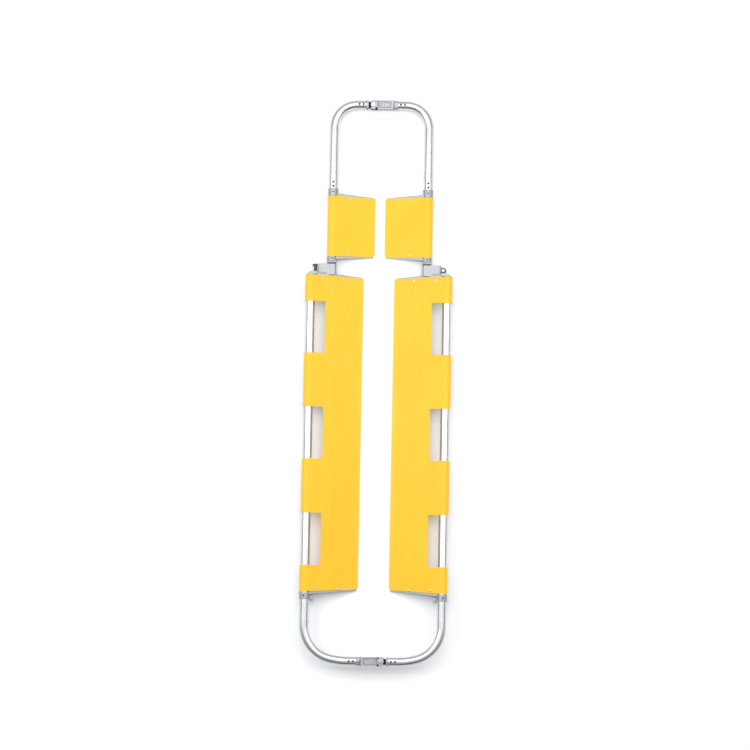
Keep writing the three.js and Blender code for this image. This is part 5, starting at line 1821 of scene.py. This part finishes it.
SPIGOT_RIVET_X = (56 * MM, 68.5 * MM)
JOINT_RIVET_BACK = (44.5 * MM, 31.5 * MM)
head_rivets = through_rivets([(x, HEAD_CROSS_Y) for x in SPIGOT_RIVET_X], RAIL_Z, RAIL_HEIGHT)
foot_rivets = through_rivets([(x, FOOT_CROSS_Y) for x in SPIGOT_RIVET_X], LEG_Z, LEG_HEIGHT)
joint_places = [(LEG_X, leg_joint_y - back) for back in JOINT_RIVET_BACK]
joint_rivets = through_rivets(joint_places, LEG_Z, LEG_HEIGHT)
dress_pair("head_spigot_rivets", head_rivets, "steel", "half")
dress_pair("foot_spigot_rivets", foot_rivets, "steel", "foot")
dress_pair("leg_joint_rivets", joint_rivets, "steel", "foot")

# %% [markdown]
# A set screw sits in a threaded hole in each collar and presses on the tube. Its top stays just
# under the casting's skin, and its hexagon socket is painted dark inside, as painted shade in the recess.


# %% Set screws
def set_screw(spot):
    x, y, z, tilt = spot
    top, depth = -0.3 * MM, 1.7 * MM
    body = [
        (top - depth, 0.0),
        (top - depth, SCREW_RADIUS - 0.2 * MM),
        (top - 0.3 * MM, SCREW_RADIUS - 0.2 * MM),
        (top, SCREW_RADIUS - 0.6 * MM),
        (top, 0.0),
    ]
    screw = turned("z", body, (0.0, 0.0), 28)
    screw = cut(screw, prism("z", circle(SCREW_SOCKET, steps=6), top - 1.1 * MM, MM))
    # Painted shade inside the hexagon socket.
    screw = soiled(screw, lambda co: 1.0 if math.hypot(co.x, co.y) < SCREW_SOCKET + 0.02 * MM else 0.0)
    screw.transform(Matrix.Translation((x, y, z)) @ Matrix.Rotation(tilt, 4, "Y"))
    return screw


dress_pair("head_set_screw", set_screw(HEAD_SCREW_SPOT), "steel", "half")
dress_pair("far_set_screw", set_screw(FAR_SCREW_SPOT), "steel", "foot")
dress_pair("near_set_screw", set_screw(NEAR_SCREW_SPOT), "steel", "foot")
print("screws tilted by", [round(math.degrees(s[3]), 1) for s in (HEAD_SCREW_SPOT, FAR_SCREW_SPOT)])

# %% [markdown]
# A pale disc is pressed into the end of each lever's knob, as a mark for the thumb. It turns with
# the lever.

# %% Knob discs
DISC_RADIUS = KNOB_RADIUS - 4.6 * MM


def knob_disc(angle):
    middle_x = TOWER_OUTER_X + RUN_GAP + HUB_WIDTH / 2
    radius = DISC_RADIUS
    disc = turned(
        "y",
        [
            (LEVER_LENGTH - 1.0 * MM, 0.0),
            (LEVER_LENGTH - 1.0 * MM, radius),
            (LEVER_LENGTH - 0.1 * MM, radius),
            (LEVER_LENGTH + 0.1 * MM, radius - 0.4 * MM),
            (LEVER_LENGTH + 0.1 * MM, radius - 1.4 * MM),
            (LEVER_LENGTH + 0.02 * MM, radius - 1.8 * MM),
            (LEVER_LENGTH + 0.02 * MM, 0.0),
        ],
        (middle_x, 0.0),
        32,
    )
    disc.transform(lever_pose(angle))
    return disc


dress("knob_disc.left", mirrored(knob_disc(LEFT_ANGLE)), "nylon", "left_lock_lever")
dress("knob_disc.right", knob_disc(RIGHT_ANGLE), "nylon", "right_lock_lever")
print("knob discs", round(2 * DISC_RADIUS / MM, 1), "mm across")

# %% [markdown]
# ## The studio
# The stretcher lies on a plain pale floor under soft light. A large lamp hangs over its foot half,
# with a smaller one at each side. A pale sky fills the shadows. It is darker towards the horizon,
# so that the round tubes get a soft dark edge.

# %% Floor
floor_bm = bmesh.new()
bmesh.ops.create_grid(floor_bm, x_segments=1, y_segments=1, size=6.0)
floor_mesh = mesh_from(floor_bm)
floor = bpy.data.objects.new("floor", floor_mesh)
bpy.context.scene.collection.objects.link(floor)
floor.location.z = -0.2 * MM
FLOOR_GLOW = 0.14
COOL_WHITE = (0.885, 0.9, 0.92, 1.0)
paper = Recipe("pale_floor", Roughness=0.95, Specular_IOR_Level=0.1)
paper.shader.inputs["Emission Strength"].default_value = FLOOR_GLOW
paper.shader.inputs["Emission Color"].default_value = grey(1.0)
paper_tone = paper.noise(paper.node("TexCoord").outputs["Object"], 3.0, detail=2.0)
floor_mesh.materials.append(
    paper.wire(Base_Color=paper.blend(paper.spread(paper_tone, 0.0, 1.0), COOL_WHITE, grey(0.92)))
)
print("floor at", round(floor.location.z / MM, 2), "mm")

# %% [markdown]
# The sky is a gradient: bright overhead and towards the foot end, dark with a cool green tint low
# down at the head end. Bare tube shows what it reflects, so this is what gives the bends a white
# side and a dark side.

# %% Sky
scene = bpy.context.scene
scene.view_settings.view_transform = "Standard"

world = bpy.data.worlds.new("studio")
scene.world = world
world.use_nodes = True
sky = world.node_tree
SKY_STRENGTH, SKY_LEAN = 0.85, 0.4
HORIZON, OVERHEAD = 0.25, 0.75
coords = sky.nodes.new("ShaderNodeTexCoord")
lean = sky.nodes.new("ShaderNodeVectorMath")
lean.operation = "DOT_PRODUCT"
lean.inputs[1].default_value = (0.0, SKY_LEAN, 1.0)
ramp = sky.nodes.new("ShaderNodeValToRGB")
sky.links.new(coords.outputs["Generated"], lean.inputs[0])
height = sky.nodes.new("ShaderNodeMath")
height.operation = "MULTIPLY_ADD"
height.inputs[1].default_value, height.inputs[2].default_value = OVERHEAD, HORIZON
sky.links.new(lean.outputs["Value"], height.inputs[0])
sky.links.new(height.outputs["Value"], ramp.inputs["Fac"])
sky.links.new(ramp.outputs["Color"], sky.nodes["Background"].inputs["Color"])
stops = ramp.color_ramp.elements
stops[0].position, stops[0].color = 0.0, (0.015, 0.035, 0.034, 1.0)
stops[1].position, stops[1].color = 0.94, grey(1.0)
for position, tone in ((HORIZON, 0.19), (0.45, 0.37), (0.66, 0.55)):
    stops.new(position).color = (0.95 * tone, tone, 1.02 * tone, 1.0)
sky.nodes["Background"].inputs["Strength"].default_value = SKY_STRENGTH
print("sky of", len(stops), "tones at strength", SKY_STRENGTH)

# %% [markdown]
# The lamps are area lights, which give shadows with soft edges.


# %% Lamps
def lamp(name, place, target, size, watts):
    data = bpy.data.lights.new(name, "AREA")
    data.shape, data.size, data.size_y = "RECTANGLE", size[0], size[1]
    data.energy = watts
    made = bpy.data.objects.new(name, data)
    bpy.context.scene.collection.objects.link(made)
    made.location = place
    made.rotation_euler = (Vector(target) - Vector(place)).to_track_quat("-Z", "Y").to_euler()
    print(name, watts, "W at", place)


lamp("top_lamp", (0.0, 1.0, 3.2), (0.0, 0.4, 0.0), (1.6, 2.8), 36)
lamp("left_lamp", (-2.0, 0.3, 2.0), (0.0, 0.0, 0.0), (1.6, 1.6), 22)
lamp("right_lamp", (2.0, 0.3, 2.0), (0.0, 0.0, 0.0), (1.6, 1.6), 16)

# %% [markdown]
# The camera stands far off and looks almost straight down, six degrees short of upright, with a
# long lens, so that the two halves look parallel. It is rolled by about one degree. Its place comes
# from those few numbers.

# %% Camera
CAMERA_TARGET = Vector((-6.75 * MM, 19.7 * MM, 20 * MM))
CAMERA_DISTANCE = 12.0
CAMERA_ELEVATION = math.radians(84)
CAMERA_ROLL = math.radians(1.085)
SENSOR = 36.0
LENS = 192.62

camera_data = bpy.data.cameras.new("camera")
camera_data.sensor_width, camera_data.lens = SENSOR, LENS
camera_data.clip_end = 100.0
camera = bpy.data.objects.new("camera", camera_data)
scene.collection.objects.link(camera)
away = Vector((0.0, -math.cos(CAMERA_ELEVATION), math.sin(CAMERA_ELEVATION)))
camera.location = CAMERA_TARGET + away * CAMERA_DISTANCE
look = away.to_track_quat("Z", "Y").to_matrix().to_4x4()
turn = look @ Matrix.Rotation(CAMERA_ROLL, 4, "Z")
camera.rotation_euler = turn.to_euler()
scene.camera = camera
print("camera at", [round(v, 3) for v in camera.location], "lens", round(LENS, 1))
